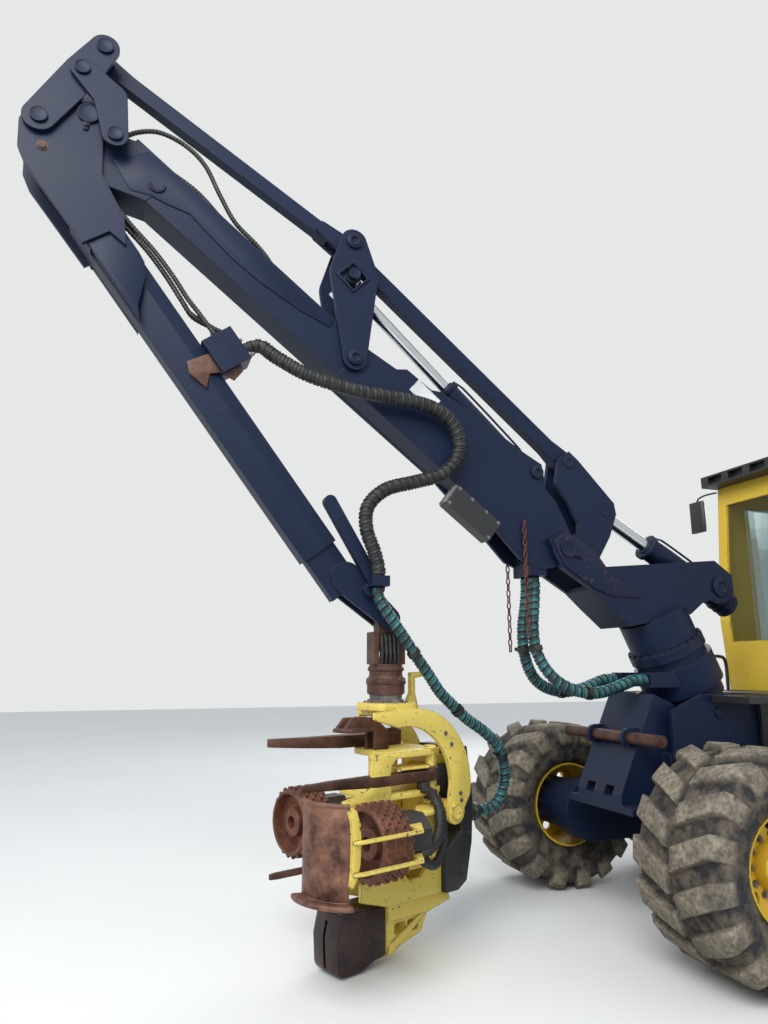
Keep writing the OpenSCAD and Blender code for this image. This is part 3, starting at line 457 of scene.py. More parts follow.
def worn_paint(name, paint, faded, under, bare, chips, dust, index=1.5):
    """Sprayed paint on steel: cloudy fading, chips down to rust, edges rubbed bare, dust on top."""
    material, tree, place = new_material(name)
    normal = add(tree, "NewGeometry").outputs["Normal"]
    clouds = add(tree, "TexNoise", {"Vector": place, "Scale": 1 / 0.60, "Detail": 6.0, "Roughness": 0.6})
    tone = add(tree, "Mix", {0: clouds.outputs["Fac"], 6: rgb(paint), 7: rgb(faded)}, data_type="RGBA")
    # edges show where a rounded normal leaves the flat one
    rounded = add(tree, "Bevel", {"Radius": 0.010}, samples=4)
    same = add(tree, "VectorMath", {0: rounded.outputs["Normal"], 1: normal}, operation="DOT_PRODUCT")
    edge = add(tree, "MapRange", {"Value": same.outputs["Value"], "From Min": 0.995, "From Max": 0.85})
    flakes = add(tree, "TexNoise", {"Vector": place, "Scale": 1 / 0.035, "Detail": 8.0, "Roughness": 0.7})
    both = add(tree, "Math", {0: edge.outputs["Result"], 1: 0.22}, operation="MULTIPLY")
    depth = add(tree, "Math", {0: flakes.outputs["Fac"], 1: both.outputs["Value"]}, operation="ADD")
    chipped = add(tree, "MapRange", {
        "Value": depth.outputs["Value"], "From Min": 0.70 - chips, "From Max": 0.72 - chips})
    rust = add(tree, "TexNoise", {"Vector": place, "Scale": 1 / 0.02, "Detail": 4.0})
    metal = add(tree, "Mix", {0: rust.outputs["Fac"], 6: rgb(under), 7: rgb(bare)}, data_type="RGBA")
    worn = add(tree, "Mix", {0: chipped.outputs["Result"], 6: tone.outputs[2], 7: metal.outputs[2]},
               data_type="RGBA")
    upward = add(tree, "SeparateXYZ", {0: normal})
    film = add(tree, "TexNoise", {"Vector": place, "Scale": 1 / 0.25, "Detail": 5.0})
    lying = add(tree, "MapRange", {"Value": upward.outputs["Z"], "From Min": -0.2, "From Max": 1.0, "To Max": dust})
    powder = add(tree, "Math", {0: lying.outputs["Result"], 1: film.outputs["Fac"]}, operation="MULTIPLY")
    colour = add(tree, "Mix", {0: powder.outputs["Value"], 6: worn.outputs[2], 7: rgb("#8b8171")},
                 data_type="RGBA")
    sheen = add(tree, "MapRange", {"Value": clouds.outputs["Fac"], "To Min": 0.34, "To Max": 0.55})
    rough = add(tree, "Mix", {0: chipped.outputs["Result"], 2: sheen.outputs["Result"], 3: 0.75})
    peel = add(tree, "TexNoise", {"Vector": place, "Scale": 1 / 0.003, "Detail": 2.0})
    skin = add(tree, "Bump", {
        "Height": peel.outputs["Fac"], "Strength": 0.04, "Distance": 0.001, "Normal": rounded.outputs["Normal"]})
    relief = add(tree, "Bump", {
        "Height": chipped.outputs["Result"], "Strength": 0.5, "Distance": 0.0008,
        "Normal": skin.outputs["Normal"]}, invert=True)
    shader = add(tree, "BsdfPrincipled", {
        "Base Color": colour.outputs[2], "Roughness": rough.outputs[0], "IOR": index,
        "Normal": relief.outputs["Normal"]})
    add(tree, "OutputMaterial", {"Surface": shader.outputs["BSDF"]})
    return material


def rusty_steel(name, dark, light, rough, pits):
    """Bare steel, rubbed bright on its edges and rusted brown in pits and flats."""
    material, tree, place = new_material(name)
    normal = add(tree, "NewGeometry").outputs["Normal"]
    patches = add(tree, "TexNoise", {"Vector": place, "Scale": 1 / 0.12, "Detail": 9.0, "Roughness": 0.68})
    tone = add(tree, "ValToRGB", {"Fac": patches.outputs["Fac"]}, ramp=[(0.35, rgb(dark)), (0.68, rgb(light))])
    rounded = add(tree, "Bevel", {"Radius": 0.006}, samples=4)
    same = add(tree, "VectorMath", {0: rounded.outputs["Normal"], 1: normal}, operation="DOT_PRODUCT")
    edge = add(tree, "MapRange", {"Value": same.outputs["Value"], "From Min": 0.99, "From Max": 0.8, "To Max": 0.45})
    colour = add(tree, "Mix", {0: edge.outputs["Result"], 6: tone.outputs["Color"], 7: rgb("#8f8378")},
                 data_type="RGBA")
    grain = add(tree, "TexNoise", {"Vector": place, "Scale": 1 / pits, "Detail": 6.0})
    relief = add(tree, "Bump", {
        "Height": grain.outputs["Fac"], "Strength": 0.35, "Distance": 0.002, "Normal": rounded.outputs["Normal"]})
    shader = add(tree, "BsdfPrincipled", {
        "Base Color": colour.outputs[2], "Metallic": 0.35, "Roughness": rough, "Normal": relief.outputs["Normal"]})
    add(tree, "OutputMaterial", {"Surface": shader.outputs["BSDF"]})
    return material


def chromed_rod():
    """Hard chrome on a ground rod, with a thin film of oil and dust."""
    material, tree, place = new_material("chromed_rod")
    film = add(tree, "TexNoise", {"Vector": place, "Scale": 1 / 0.06, "Detail": 4.0})
    rough = add(tree, "MapRange", {"Value": film.outputs["Fac"], "To Min": 0.08, "To Max": 0.32})
    shader = add(tree, "BsdfPrincipled", {
        "Base Color": rgb("#c9ccd0"), "Metallic": 1.0, "Roughness": rough.outputs["Result"]})
    add(tree, "OutputMaterial", {"Surface": shader.outputs["BSDF"]})
    return material


def tinted_glass():
    """Tinted polycarbonate window, a little dusty."""
    material, tree, place = new_material("tinted_glass")
    film = add(tree, "TexNoise", {"Vector": place, "Scale": 1 / 0.15, "Detail": 4.0})
    rough = add(tree, "MapRange", {"Value": film.outputs["Fac"], "To Min": 0.02, "To Max": 0.14})
    shader = add(tree, "BsdfPrincipled", {
        "Base Color": rgb("#7d9090"), "Transmission Weight": 0.9, "IOR": 1.1, "Roughness": rough.outputs["Result"],
        "Alpha": 0.55})
    add(tree, "OutputMaterial", {"Surface": shader.outputs["BSDF"]})
    return material


navy_paint = worn_paint("navy_paint", "#0c1730", "#172643", "#4c382c", "#332d2b", chips=0.02, dust=0.07, index=1.32)
yellow_paint = worn_paint("yellow_paint", "#dcb32b", "#ecc93f", "#4e3429", "#2c2624", chips=0.03, dust=0.10)
dark_paint = worn_paint("dark_paint", "#15171b", "#22252a", "#4a3930", "#3b3431", chips=0.0, dust=0.30)
rust_steel = rusty_steel("rusty_steel", "#38241f", "#6f4c3d", rough=0.55, pits=0.008)
saw_steel = rusty_steel("saw_box_steel", "#221b1f", "#4b3531", rough=0.42, pits=0.015)

chrome = chromed_rod()
cab_tint = tinted_glass()
for parts, finish in [(navy_parts, navy_paint), (yellow_parts, yellow_paint), (dark_parts, dark_paint),
                      (rusty_parts, rust_steel), (["engine"], saw_steel),
                      (["lift_rod", "jib_rod"], chrome), (["cab_glass", "door_glass"], cab_tint)]:
    for part in parts:
        for material_slot in nodes[part].material_slots:
            material_slot.material = finish


# Tyres
# Wide forestry tyres of natural rubber, moulded with broad chevron lugs that run over the shoulder.
# Dry mud and sand lie between the lugs, and the lugs' tips are rubbed to a lighter grey.
tyre_width = 0.710
lug_count = 16
lug_depth = 0.042
lug_top_width = 0.134
lug_foot_width = 0.166
wheel_y = 1.120
# radius of the tyre and of the rim
bogie_wheel = (0.670, 0.337)
rear_wheel = (0.820, 0.432)
# row, x of the axle, and both radii
wheels = [("front", front_axle_x, *bogie_wheel), ("mid", front_axle_x - 1.500, *bogie_wheel),
          ("rear", front_axle_x - 4.800, *rear_wheel)]


def tyre_rubber():
    """Rubber with dried mud: dark where it is clean, sandy where lug feet hold mud."""
    material, tree, place = new_material("tyre_rubber")
    height = add(tree, "Attribute", attribute_name="lug_height").outputs["Fac"]
    mud = add(tree, "TexNoise", {"Vector": place, "Scale": 1 / 0.10, "Detail": 8.0, "Roughness": 0.65})
    base = add(tree, "ValToRGB", {"Fac": mud.outputs["Fac"]}, ramp=[(0.42, rgb("#26262a")), (0.66, rgb("#6f6455"))])
    grit = add(tree, "TexNoise", {"Vector": place, "Scale": 1 / 0.03, "Detail": 6.0, "Roughness": 0.6})
    top = add(tree, "ValToRGB", {"Fac": grit.outputs["Fac"]}, ramp=[(0.32, rgb("#5c564d")), (0.68, rgb("#a89c88"))])
    patches = add(tree, "TexNoise", {"Vector": place, "Scale": 1 / 0.22, "Detail": 3.0})
    share = add(tree, "MapRange", {"Value": patches.outputs["Fac"], "From Min": 0.35, "From Max": 0.6,
                                   "To Min": 0.45, "To Max": 1.0})
    rubbed = add(tree, "Math", {0: height, 1: share.outputs["Result"]}, operation="MULTIPLY")
    colour = add(tree, "Mix", {0: rubbed.outputs["Value"], 6: base.outputs["Color"], 7: top.outputs["Color"]},
                 data_type="RGBA")
    relief = add(tree, "Bump", {"Height": grit.outputs["Fac"], "Strength": 0.45, "Distance": 0.004})
    shader = add(tree, "BsdfPrincipled", {
        "Base Color": colour.outputs[2], "Roughness": 0.82, "Normal": relief.outputs["Normal"]})
    add(tree, "OutputMaterial", {"Surface": shader.outputs["BSDF"]})
    return material


def tyre_mesh(radius, rim_radius, steps=96):
    """Points, faces and lug heights of a tyre about the y axis."""
    half = tyre_width / 2
    crown = radius - lug_depth
    section = [
        (rim_radius + 0.002, half * 0.74), (rim_radius + 0.022, half * 0.83), (rim_radius + 0.030, half * 0.865),
        (rim_radius + 0.060, half * 0.93), (crown - 0.17, half * 0.985), (crown - 0.10, half * 0.985),
        (crown - 0.045, half * 0.94), (crown - 0.016, half * 0.84), (crown - 0.003, half * 0.5), (crown, 0.0)]
    section += [(r, -y) for r, y in section[-2::-1]]
    points, faces, heights = [], [], []
    for i in range(steps):
        a = 2 * math.pi * i / steps
        points += [(r * math.cos(a), y, r * math.sin(a)) for r, y in section]
        heights += [0.0] * len(section)
    n = len(section)
    for i in range(steps):
        j = (i + 1) % steps
        faces += [(i * n + k, i * n + k + 1, j * n + k + 1, j * n + k) for k in range(n - 1)]
    pitch = 2 * math.pi / lug_count
    # stations of a lug from the middle of the tread over the shoulder: y, foot and top radius, lead angle
    stations = [(0.022, crown - 0.01, radius, 0.0), (0.30 * half, crown - 0.01, radius, 0.16 * pitch),
                (0.60 * half, crown - 0.015, radius - 0.001, 0.34 * pitch),
                (0.84 * half, crown - 0.03, radius - 0.004, 0.50 * pitch),
                (0.965 * half, crown - 0.08, radius - 0.040, 0.53 * pitch),
                (0.996 * half, crown - 0.13, radius - 0.130, 0.53 * pitch)]
    for side in (-1, 1):
        for i in range(lug_count):
            turn = -math.pi / 2 + pitch * (i + 0.22 + (0.0 if side > 0 else 0.5))
            first = len(points)
            for y, foot, top, lead in stations:
                a = turn + lead
                for r, width in ((foot, -lug_foot_width), (top, -lug_top_width), (top, lug_top_width),
                                 (foot, lug_foot_width)):
                    b = a + width / 2 / radius
                    points.append((r * math.cos(b), side * y, r * math.sin(b)))
                    heights.append(1.0 if r == top else 0.0)
            for k in range(len(stations) - 1):
                a = first + 4 * k
                for e in range(3):
                    faces.append((a + e, a + e + 1, a + e + 5, a + e + 4))
            faces.append((first, first + 1, first + 2, first + 3))
            end = first + 4 * (len(stations) - 1)
            faces.append((end, end + 3, end + 2, end + 1))
    return points, faces, heights


def edit_all():
    bpy.ops.object.mode_set(mode="EDIT")
    bpy.ops.mesh.select_all(action="SELECT")


def to_object_mode():
    bpy.ops.object.mode_set(mode="OBJECT")


def tyre_piece(row, hand, axle, radius, rim_radius, side, material):
    points, faces, heights = tyre_mesh(radius, rim_radius)
    centre = Vector((axle, side * wheel_y, radius))
    piece = mesh_piece(f"lugged_tyre_{row}_{hand}", [Vector(p) + centre for p in points], faces, [material])
    attribute = piece.data.attributes.new("lug_height", "FLOAT", "POINT")
    attribute.data.foreach_set("value", heights)
    only(piece)
    edit_all()
    bpy.ops.mesh.normals_make_consistent(inside=False)
    to_object_mode()
    shape(piece, "BEVEL", width=0.007, segments=2, angle_limit=math.radians(50))
    bpy.ops.object.shade_smooth_by_angle(angle=math.radians(40))
    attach(piece, f"wheel_{row}_{hand}")
    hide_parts(f"tyre_{row}_{hand}")


rubber = tyre_rubber()
for row, axle, radius, rim_radius in wheels:
    for side, hand in hands:
        tyre_piece(row, hand, axle, radius, rim_radius, side, rubber)


# Load chains
# Two lengths of welded steel chain with straight links hang from the boom's lower edge, one on
# each side, rusted red where they aren't used.
chain_wire = 0.0055
link_length = 0.058
link_width = 0.036
chain_y = 0.1503


def rotation(degrees, axis):
    return Matrix.Rotation(math.radians(degrees), 4, axis)


def chain_piece(name, x, y, top, bottom, material):
    """One link modelled from a ring, then copied down the chain with each second one turned."""
    pitch = link_length - 2 * chain_wire
    count = int((top - bottom) / pitch)
    links = []
    for i in range(count):
        deselect()
        bpy.ops.mesh.primitive_torus_add(major_radius=link_width / 2 - chain_wire, minor_radius=chain_wire,
                                         major_segments=16, minor_segments=8)
        link = bpy.context.object
        stretch = (link_length - link_width) / 2
        for v in link.data.vertices:
            v.co.x += math.copysign(stretch, v.co.x)
        link.data.transform(rotation(90, "Y"))
        link.data.transform(rotation(90 * (i % 2) + 4 * math.sin(i * 1.7), "Z"))
        link.data.transform(Matrix.Translation((x, y, top - link_length / 2 - i * pitch)))
        links.append(link)
    chain = join(links, name)
    chain.data.materials.append(material)
    bpy.ops.object.shade_smooth()
    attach(chain, "boom")
    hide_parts("chains")


chain_rust = rusty_steel("chain_rust", "#4a241c", "#7c4536", rough=0.7, pits=0.004)
for name, x, y, top, bottom in [("chain_left", 0.930, chain_y, 2.900, 2.010),
                                ("chain_right", 0.915, -chain_y, 2.735, 1.910)]:
    chain_piece(name, front_axle_x + x, y, top, bottom, chain_rust)


# Pins
# Hardened steel pins hold the crane's plates. Each ends in a turned cap, plain or with a bright
# ring and a threaded hole, pressed in from outside and kept by a small plate with one screw.
rocker_face = 0.094
boom_face = 0.130
lever_face = 0.166
pillar_face = 0.182
foot_face = 0.194
knuckle_face = 0.202
link_face = 0.238
pin_ends = [
    # name, body, x and z ahead of the front axle and above the ground, y of the plate's face, radius,
    # height and kind of the cap
    ("pillar_foot_pin", "pillar", 0.585, 2.695, foot_face, 0.066, 0.018, "cap"),
    ("lift_trunnion", "pillar", -0.865, 2.460, pillar_face, 0.084, 0.022, "ring"),
    ("rod_pin", "rocker", 0.145, 3.045, rocker_face, 0.050, 0.005, "cap"),
    ("lower_tie_pin", "rocker", 0.460, 3.415, rocker_face, 0.054, 0.005, "ring"),
    ("fold_barrel_pin", "boom", 0.790, 3.290, boom_face, 0.052, 0.022, "ring"),
    ("lever_foot_pin", "boom", 2.280, 4.000, lever_face, 0.056, 0.022, "ring"),
    ("lever_top_pin", "mid_lever", 2.295, 4.930, lever_face, 0.060, 0.022, "ring"),
    ("fold_rod_pin", "mid_lever", 2.290, 4.665, lever_face, 0.044, 0.018, "cap"),
    ("jib_pin", "jib", 4.185, 5.480, lever_face, 0.072, 0.018, "cap"),
    ("lever_jib_pin", "jib", 4.480, 5.360, knuckle_face, 0.056, 0.018, "cap"),
    ("upper_tie_pin", "knuckle_lever", 4.120, 6.010, knuckle_face, 0.056, 0.018, "cap"),
    ("link_top_pin", "knuckle_link", 4.245, 5.770, link_face, 0.052, 0.018, "cap"),
    ("link_foot_pin", "boom", 4.005, 5.320, link_face, 0.050, 0.018, "cap"),
]


def pick_faces(piece, test):
    """Leaves the piece in edit mode with the faces selected whose centre and normal pass the test."""
    only(piece)
    bpy.ops.object.mode_set(mode="EDIT")
    bpy.ops.mesh.select_mode(type="FACE")
    bpy.ops.mesh.select_all(action="DESELECT")
    to_object_mode()
    for face in piece.data.polygons:
        face.select = test(face.center, face.normal)
    bpy.ops.object.mode_set(mode="EDIT")


def faces_up(centre, normal):
    return normal.z > 0.9


def push(x, y, z):
    bpy.ops.mesh.extrude_region_move(TRANSFORM_OT_translate={"value": (x, y, z)})


def sink(piece, test, margin, shift):
    """Insets the faces that pass the test and moves them by a shift."""
    pick_faces(piece, test)
    bpy.ops.mesh.inset(thickness=margin)
    push(*shift)
    to_object_mode()


def set_down(piece):
    """Moves a primitive's place, turn and scale into its mesh."""
    only(piece)
    bpy.ops.object.transform_apply(location=True, rotation=True, scale=True)
    return piece


def box(middle, size):
    """A block round its middle."""
    deselect()
    bpy.ops.mesh.primitive_cube_add(size=1, location=middle, scale=size)
    return set_down(bpy.context.object)


def copy_to(piece, name, matrix):
    """A copy with its own mesh, moved there."""
    copied = piece.copy()
    copied.data = piece.data.copy()
    copied.name = name
    copied.data.name = name
    bpy.context.scene.collection.objects.link(copied)
    copied.data.transform(matrix)
    return copied


def dress(piece, body, slot, *materials):
    """Gives a finished piece its material and the body that it rides on; its slot argument is not used."""
    piece.data.materials.clear()
    for material in materials:
        piece.data.materials.append(material)
    only(piece)
    bpy.ops.object.shade_smooth_by_angle(angle=math.radians(35))
    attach(piece, body)
    return piece


def drop(*pieces):
    for piece in pieces:
        bpy.data.objects.remove(piece, do_unlink=True)


def outward(x, y, z, side):
    """Turns a piece that stands on z = 0 to point sideways, away from the middle plane."""
    return Matrix.Translation((x, side * y, z)) @ rotation(-90 * side, "X")


def on_plate(x, z, face, side):
    """Turns a piece that stands on z = 0 to stand on the outside of a crane plate."""
    return outward(front_axle_x + x, face, z, side)


def pin_cap(radius, height, kind):
    """A turned disc with a chamfer, and in it a shallow dish, or a raised ring round a hole."""
    deselect()
    bpy.ops.mesh.primitive_cylinder_add(vertices=40, radius=radius, depth=height, location=(0, 0, height / 2))
    cap = set_down(bpy.context.object)
    pick_faces(cap, faces_up)
    bpy.ops.mesh.inset(thickness=radius * (0.16 if kind == "cap" else 0.30))
    push(0, 0, -0.15 * height if kind == "cap" else 0.2 * height)
    if kind == "ring":
        bpy.ops.mesh.inset(thickness=radius * 0.22)
        push(0, 0, -0.6 * height)
    to_object_mode()
    shape(cap, "BEVEL", width=0.002, segments=2)
    return cap


def hex_bolt(radius, height):
    """A hexagon head on its washer."""
    deselect()
    bpy.ops.mesh.primitive_cylinder_add(vertices=24, radius=radius * 1.35, depth=height * 0.25,
                                        location=(0, 0, height * 0.125))
    washer = set_down(bpy.context.object)
    bpy.ops.mesh.primitive_cylinder_add(vertices=6, radius=radius, depth=height, location=(0, 0, height / 2))
    head = set_down(bpy.context.object)
    sink(head, faces_up, radius * 0.18, (0, 0, height * 0.12))
    return join([head, washer], "hex_bolt")


bolt = hex_bolt(0.011, 0.010)
for name, body, x, z, face, radius, height, kind in pin_ends:
    cap = pin_cap(radius, height, kind)
    for side, hand in hands:
        dress(copy_to(cap, f"{name}_{hand}", on_plate(x, z, face, side)), body, "navy_paint", navy_paint)
    drop(cap)

# keeper plates with one screw, beside the larger pins
for name, body, x, z, face, angle in [("jib_pin_keeper", "jib", 4.185, 5.480, lever_face, -85),
                                      ("foot_pin_keeper", "pillar", 0.585, 2.695, foot_face, -150)]:
    plate = box((0.075, 0, 0.006), (0.11, 0.06, 0.012))
    pick_faces(plate, lambda centre, normal: normal.x > 0.9)
    bpy.ops.transform.resize(value=(1, 0.5, 1))
    to_object_mode()
    shape(plate, "BEVEL", width=0.003, segments=2)
    screw = copy_to(bolt, "keeper_screw", Matrix.Translation((0.100, 0, 0.012)))
    keeper = join([plate, screw], name)
    keeper.data.transform(rotation(-angle, "Z"))
    for side, hand in hands:
        flip = Matrix.Diagonal((1, side, 1, 1))
        made = copy_to(keeper, f"{name}_{hand}", on_plate(x, z, face, side) @ flip)
        if side < 0:
            made.data.flip_normals()
        dress(made, body, "navy_paint", navy_paint)
    drop(keeper)


# Boom and lever trim
# Doubler plates welded over the boom's foot, a raised frame round the diamond window of each
# mid lever plate, and a blank white plate where a label would be. The doublers' edges have rusted.
doubler_outline = [(0.705, 2.752), (0.640, 2.795), (0.585, 2.812), (0.520, 2.785), (0.345, 2.682), (0.250, 2.560),
                   (0.185, 2.490), (-0.060, 2.395), (-0.060, 2.345), (0.200, 2.345), (0.365, 2.405), (0.612, 2.562)]
doubler_t = 0.012
window = (2.300, 4.640)
window_side = 0.150
label_middle = (1.719, 3.800)
label_size = (0.230, 0.120)
label_t = 0.003
label_turn = 40


def fit(piece, name, place, body, slot, *materials):
    """Names a finished piece, moves it to its place and dresses it."""
    piece.data.transform(place)
    piece.name = name
    return dress(piece, body, slot, *materials)


def flat_plate(points, thickness):
    """A plate cut to an outline: a filled face, extruded."""
    deselect()
    bpy.ops.mesh.primitive_circle_add(vertices=len(points), radius=1, fill_type="NGON")
    plate = bpy.context.object
    for vertex, (u, v) in zip(plate.data.vertices, points):
        vertex.co = (u, v, 0)
    edit_all()
    bpy.ops.mesh.normals_make_consistent(inside=False)
    push(0, 0, thickness)
    bpy.ops.mesh.select_all(action="SELECT")
    bpy.ops.mesh.normals_make_consistent(inside=False)
    to_object_mode()
    return plate


rusty_navy = worn_paint("rusty_navy", "#0d1831", "#182642", "#7a4a35", "#4a332b", chips=0.09, dust=0.08, index=1.32)
white_plate = worn_paint("white_plate", "#d9dcdc", "#eef0ef", "#8b8478", "#6b645b", chips=0.01, dust=0.10)
for side, hand in hands:
    # outlines run in x and z, so they are turned upright and pushed to their side
    outer_y = side * pillar_face + (doubler_t if side > 0 else 0)
    upright_at = Matrix.Translation((front_axle_x, outer_y, 0)) @ rotation(90, "X")
    doubler = flat_plate(doubler_outline, doubler_t)
    shape(doubler, "BEVEL", width=0.003, segments=2)
    deselect()
    bpy.ops.mesh.primitive_plane_add(size=window_side + 0.036)
    frame_ring = bpy.context.object
    pick_faces(frame_ring, lambda centre, normal: True)
    bpy.ops.mesh.inset(thickness=0.018)
    bpy.ops.mesh.delete(type="FACE")
    to_object_mode()
    shape(frame_ring, "SOLIDIFY", thickness=0.012, offset=1)
    shape(frame_ring, "BEVEL", width=0.003, segments=2)
    diamond = on_plate(*window, lever_face, side) @ rotation(45, "Z")
    fit(frame_ring, f"window_frame_{hand}", diamond, "mid_lever", "navy_paint", navy_paint)
    fit(doubler, f"foot_doubler_{hand}", upright_at, "pillar", "navy_paint", rusty_navy)

label = box((0, 0, label_t / 2), (*label_size, label_t))
sink(label, faces_up, 0.006, (0, 0, -0.0006))
shape(label, "BEVEL", width=0.001, segments=2)
label_at = on_plate(*label_middle, boom_face, 1) @ rotation(-label_turn, "Z")
fit(label, "blank_plate", label_at, "boom", "lamp_black", white_plate)


# Cylinders
# Honed steel tubes, painted navy, with a screwed gland where the rod comes out, a welded end with
# ribs, and a thin steel pipe along each tube that feeds its far end.
lift_pin = (-0.865, 2.460)
lift_eye = (0.145, 3.045)
fold_pin = (0.790, 3.290)
fold_eye = (2.290, 4.665)


def along_line(p, q, distance):
    """Turns a piece that stands on z = 0 to point from p to q, that far along, in the middle plane."""
    angle = math.atan2(q[1] - p[1], q[0] - p[0])
    foot = Vector((front_axle_x + p[0] + distance * math.cos(angle), 0, p[1] + distance * math.sin(angle)))
    return Matrix.Translation(foot) @ Matrix.Rotation(math.radians(90) - angle, 4, "Y")


def turned(profile, steps=48):
    """A ring or drum turned about z from its closed outline of radius and height."""
    deselect()
    bpy.ops.mesh.primitive_circle_add(vertices=len(profile), radius=1, fill_type="NGON")
    ring = bpy.context.object
    for vertex, (r, z) in zip(ring.data.vertices, profile):
        vertex.co = (r, 0, z)
    edit_all()
    bpy.ops.mesh.delete(type="ONLY_FACE")
    bpy.ops.mesh.select_all(action="SELECT")
    bpy.ops.mesh.spin(steps=steps, angle=2 * math.pi, center=(0, 0, 0), axis=(0, 0, 1))
    bpy.ops.mesh.select_all(action="SELECT")
    bpy.ops.mesh.remove_doubles(threshold=0.00005)
    bpy.ops.mesh.normals_make_consistent(inside=False)
    to_object_mode()
    return ring


def turned_ring(radius, bore, length, stepped=True):
    """A bored ring, rounded at its back and, where that is asked for, stepped down to a neck at its front."""
    wall = radius - bore
    front = [(radius - 0.003, length), (bore, length)]
    if stepped:
        front = [(bore + 0.75 * wall, length), (bore + 0.70 * wall, 0.7 * length),
                 (bore + 0.45 * wall, 0.7 * length + 0.004), (bore + 0.30 * wall, length + 0.012),
                 (bore, length + 0.012)]
    return turned([(bore, 0), (radius - 0.003, 0), (radius, 0.003), (radius, length - 0.006)] + front)


def pipe_run(name, points, radius, material, body, slot):
    """A bent steel pipe: a line of points given a round section and made a mesh."""
    deselect()
    bpy.ops.curve.primitive_nurbs_path_add()
    path = bpy.context.object
    curve = path.data
    curve.splines.clear()
    spline = curve.splines.new("POLY")
    line = smooth_line(points, 0.03) if len(points) > 2 else [Vector(p) for p in points]
    spline.points.add(len(line) - 1)
    for point, place in zip(spline.points, line):
        point.co = (*place, 1)
    curve.bevel_depth = radius
    curve.bevel_resolution = 3
    curve.use_fill_caps = True
    bpy.ops.object.convert(target="MESH")
    pipe = bpy.context.object
    pipe.name = name
    return dress(pipe, body, slot, material)


# name, pins at both ends, radius and bore of the gland, its distance from the first pin, body
for name, p, q, radius, rod, gland_at, body in [
        ("lift", lift_pin, lift_eye, 0.110, 0.0553, 0.625, "lift_barrel"),
        ("fold", fold_pin, fold_eye, 0.090, 0.0453, 0.910, "jib_barrel")]:
    gland = turned_ring(radius, rod, 0.040)
    fit(gland, f"{name}_gland", along_line(p, q, gland_at), body, "navy_paint", navy_paint)
for k, distance in enumerate((-0.275, -0.215, -0.155)):
    rib = turned_ring(0.104, 0.09, 0.022, stepped=False)
    fit(rib, f"lift_rib_{k + 1}", along_line(lift_pin, lift_eye, distance), "lift_barrel", "navy_paint", navy_paint)
# name, pins, height of the pipe over the middle line, where it starts and ends along it, body
for name, p, q, offset, start, end, body in [
        ("lift_pipe", lift_pin, lift_eye, 0.120, 0.10, 0.60, "lift_barrel"),
        ("fold_pipe", fold_pin, fold_eye, 0.098, 0.16, 0.90, "jib_barrel")]:
    for side, hand in hands[::-1]:
        ends = [along_line(p, q, s) @ Vector((-d, side * 0.03, 0)) for s, d in
                ((start, offset - 0.03), (start + 0.04, offset), (end - 0.04, offset), (end, offset - 0.03))]
        pipe_run(f"{name}_{hand}", ends, 0.009, navy_paint, body, "navy_paint")


# Work lamp
# A sheet steel lamp box bolted under the boom's foot, with a pale guard of welded bars over its
# lens and a row of bolts along the slotted side.
boom_foot = (0.585, 2.695)
boom_tip = (4.185, 5.480)
lamp_length = 0.420
lamp_start = 0.560
lamp_middle = (0.190, -0.335)
lamp_guard_size = (0.166, 0.116)
lamp_lens_size = (0.100, 0.074, 0.018)


def boom_frame():
    angle = math.atan2(boom_tip[1] - boom_foot[1], boom_tip[0] - boom_foot[0])
    return Matrix.Translation((front_axle_x + boom_foot[0], 0, boom_foot[1])) @ Matrix.Rotation(-angle, 4, "Y")


def lens_glass():
    """Ribbed pale lens glass of a work lamp."""
    material, tree, place = new_material("lens_glass")
    ribs = add(tree, "TexWave", {"Vector": place, "Scale": 1 / 0.03})
    bump = add(tree, "Bump", {"Height": ribs.outputs["Fac"], "Strength": 0.4, "Distance": 0.002})
    shader = add(tree, "BsdfPrincipled", {
        "Base Color": rgb("#c9d2d4"), "Roughness": 0.15, "Coat Weight": 0.5, "Normal": bump.outputs["Normal"]})
    add(tree, "OutputMaterial", {"Surface": shader.outputs["BSDF"]})
    return material


def zinc_steel():
    """Zinc-plated steel, dulled and touched with rust."""
    material, tree, place = new_material("zinc_steel")
    spots = add(tree, "TexNoise", {"Vector": place, "Scale": 1 / 0.015, "Detail": 5.0})
    tone = add(tree, "ValToRGB", {"Fac": spots.outputs["Fac"]}, ramp=[(0.40, rgb("#8f9298")), (0.72, rgb("#6d5648"))])
    shader = add(tree, "BsdfPrincipled", {"Base Color": tone.outputs["Color"], "Metallic": 0.8, "Roughness": 0.42})
    add(tree, "OutputMaterial", {"Surface": shader.outputs["BSDF"]})
    return material


zinc = zinc_steel()
lamp_glass = lens_glass()
lamp_end = boom_frame() @ Matrix.Translation((lamp_start + lamp_length, *lamp_middle)) @ rotation(90, "Y")
deselect()
bpy.ops.mesh.primitive_plane_add(size=1)
guard = bpy.context.object
guard.scale = (*lamp_guard_size, 1)
set_down(guard)
edit_all()
bpy.ops.mesh.subdivide(number_cuts=3)
to_object_mode()
shape(guard, "WIREFRAME", thickness=0.009, use_replace=True)
fit(guard, "lamp_guard", lamp_end @ Matrix.Translation((0, 0, 0.010)), "boom", "lamp_black", zinc)
deselect()
bpy.ops.mesh.primitive_uv_sphere_add(segments=32, ring_count=16, radius=0.5, scale=lamp_lens_size)
lens = set_down(bpy.context.object)
fit(lens, "lamp_lens", lamp_end @ Matrix.Translation((0, 0, 0.002)), "boom", "cab_glass", lamp_glass)
lamp_bolts = [copy_to(bolt, "lamp_bolt", boom_frame() @ Matrix.Translation((lamp_start + u, 0.250, -0.420 + w))
                      @ rotation(-90, "X"))
              for u, w in ((0.02, 0.015), (0.40, 0.015), (0.02, 0.155), (0.14, 0.155), (0.28, 0.155), (0.40, 0.155))]
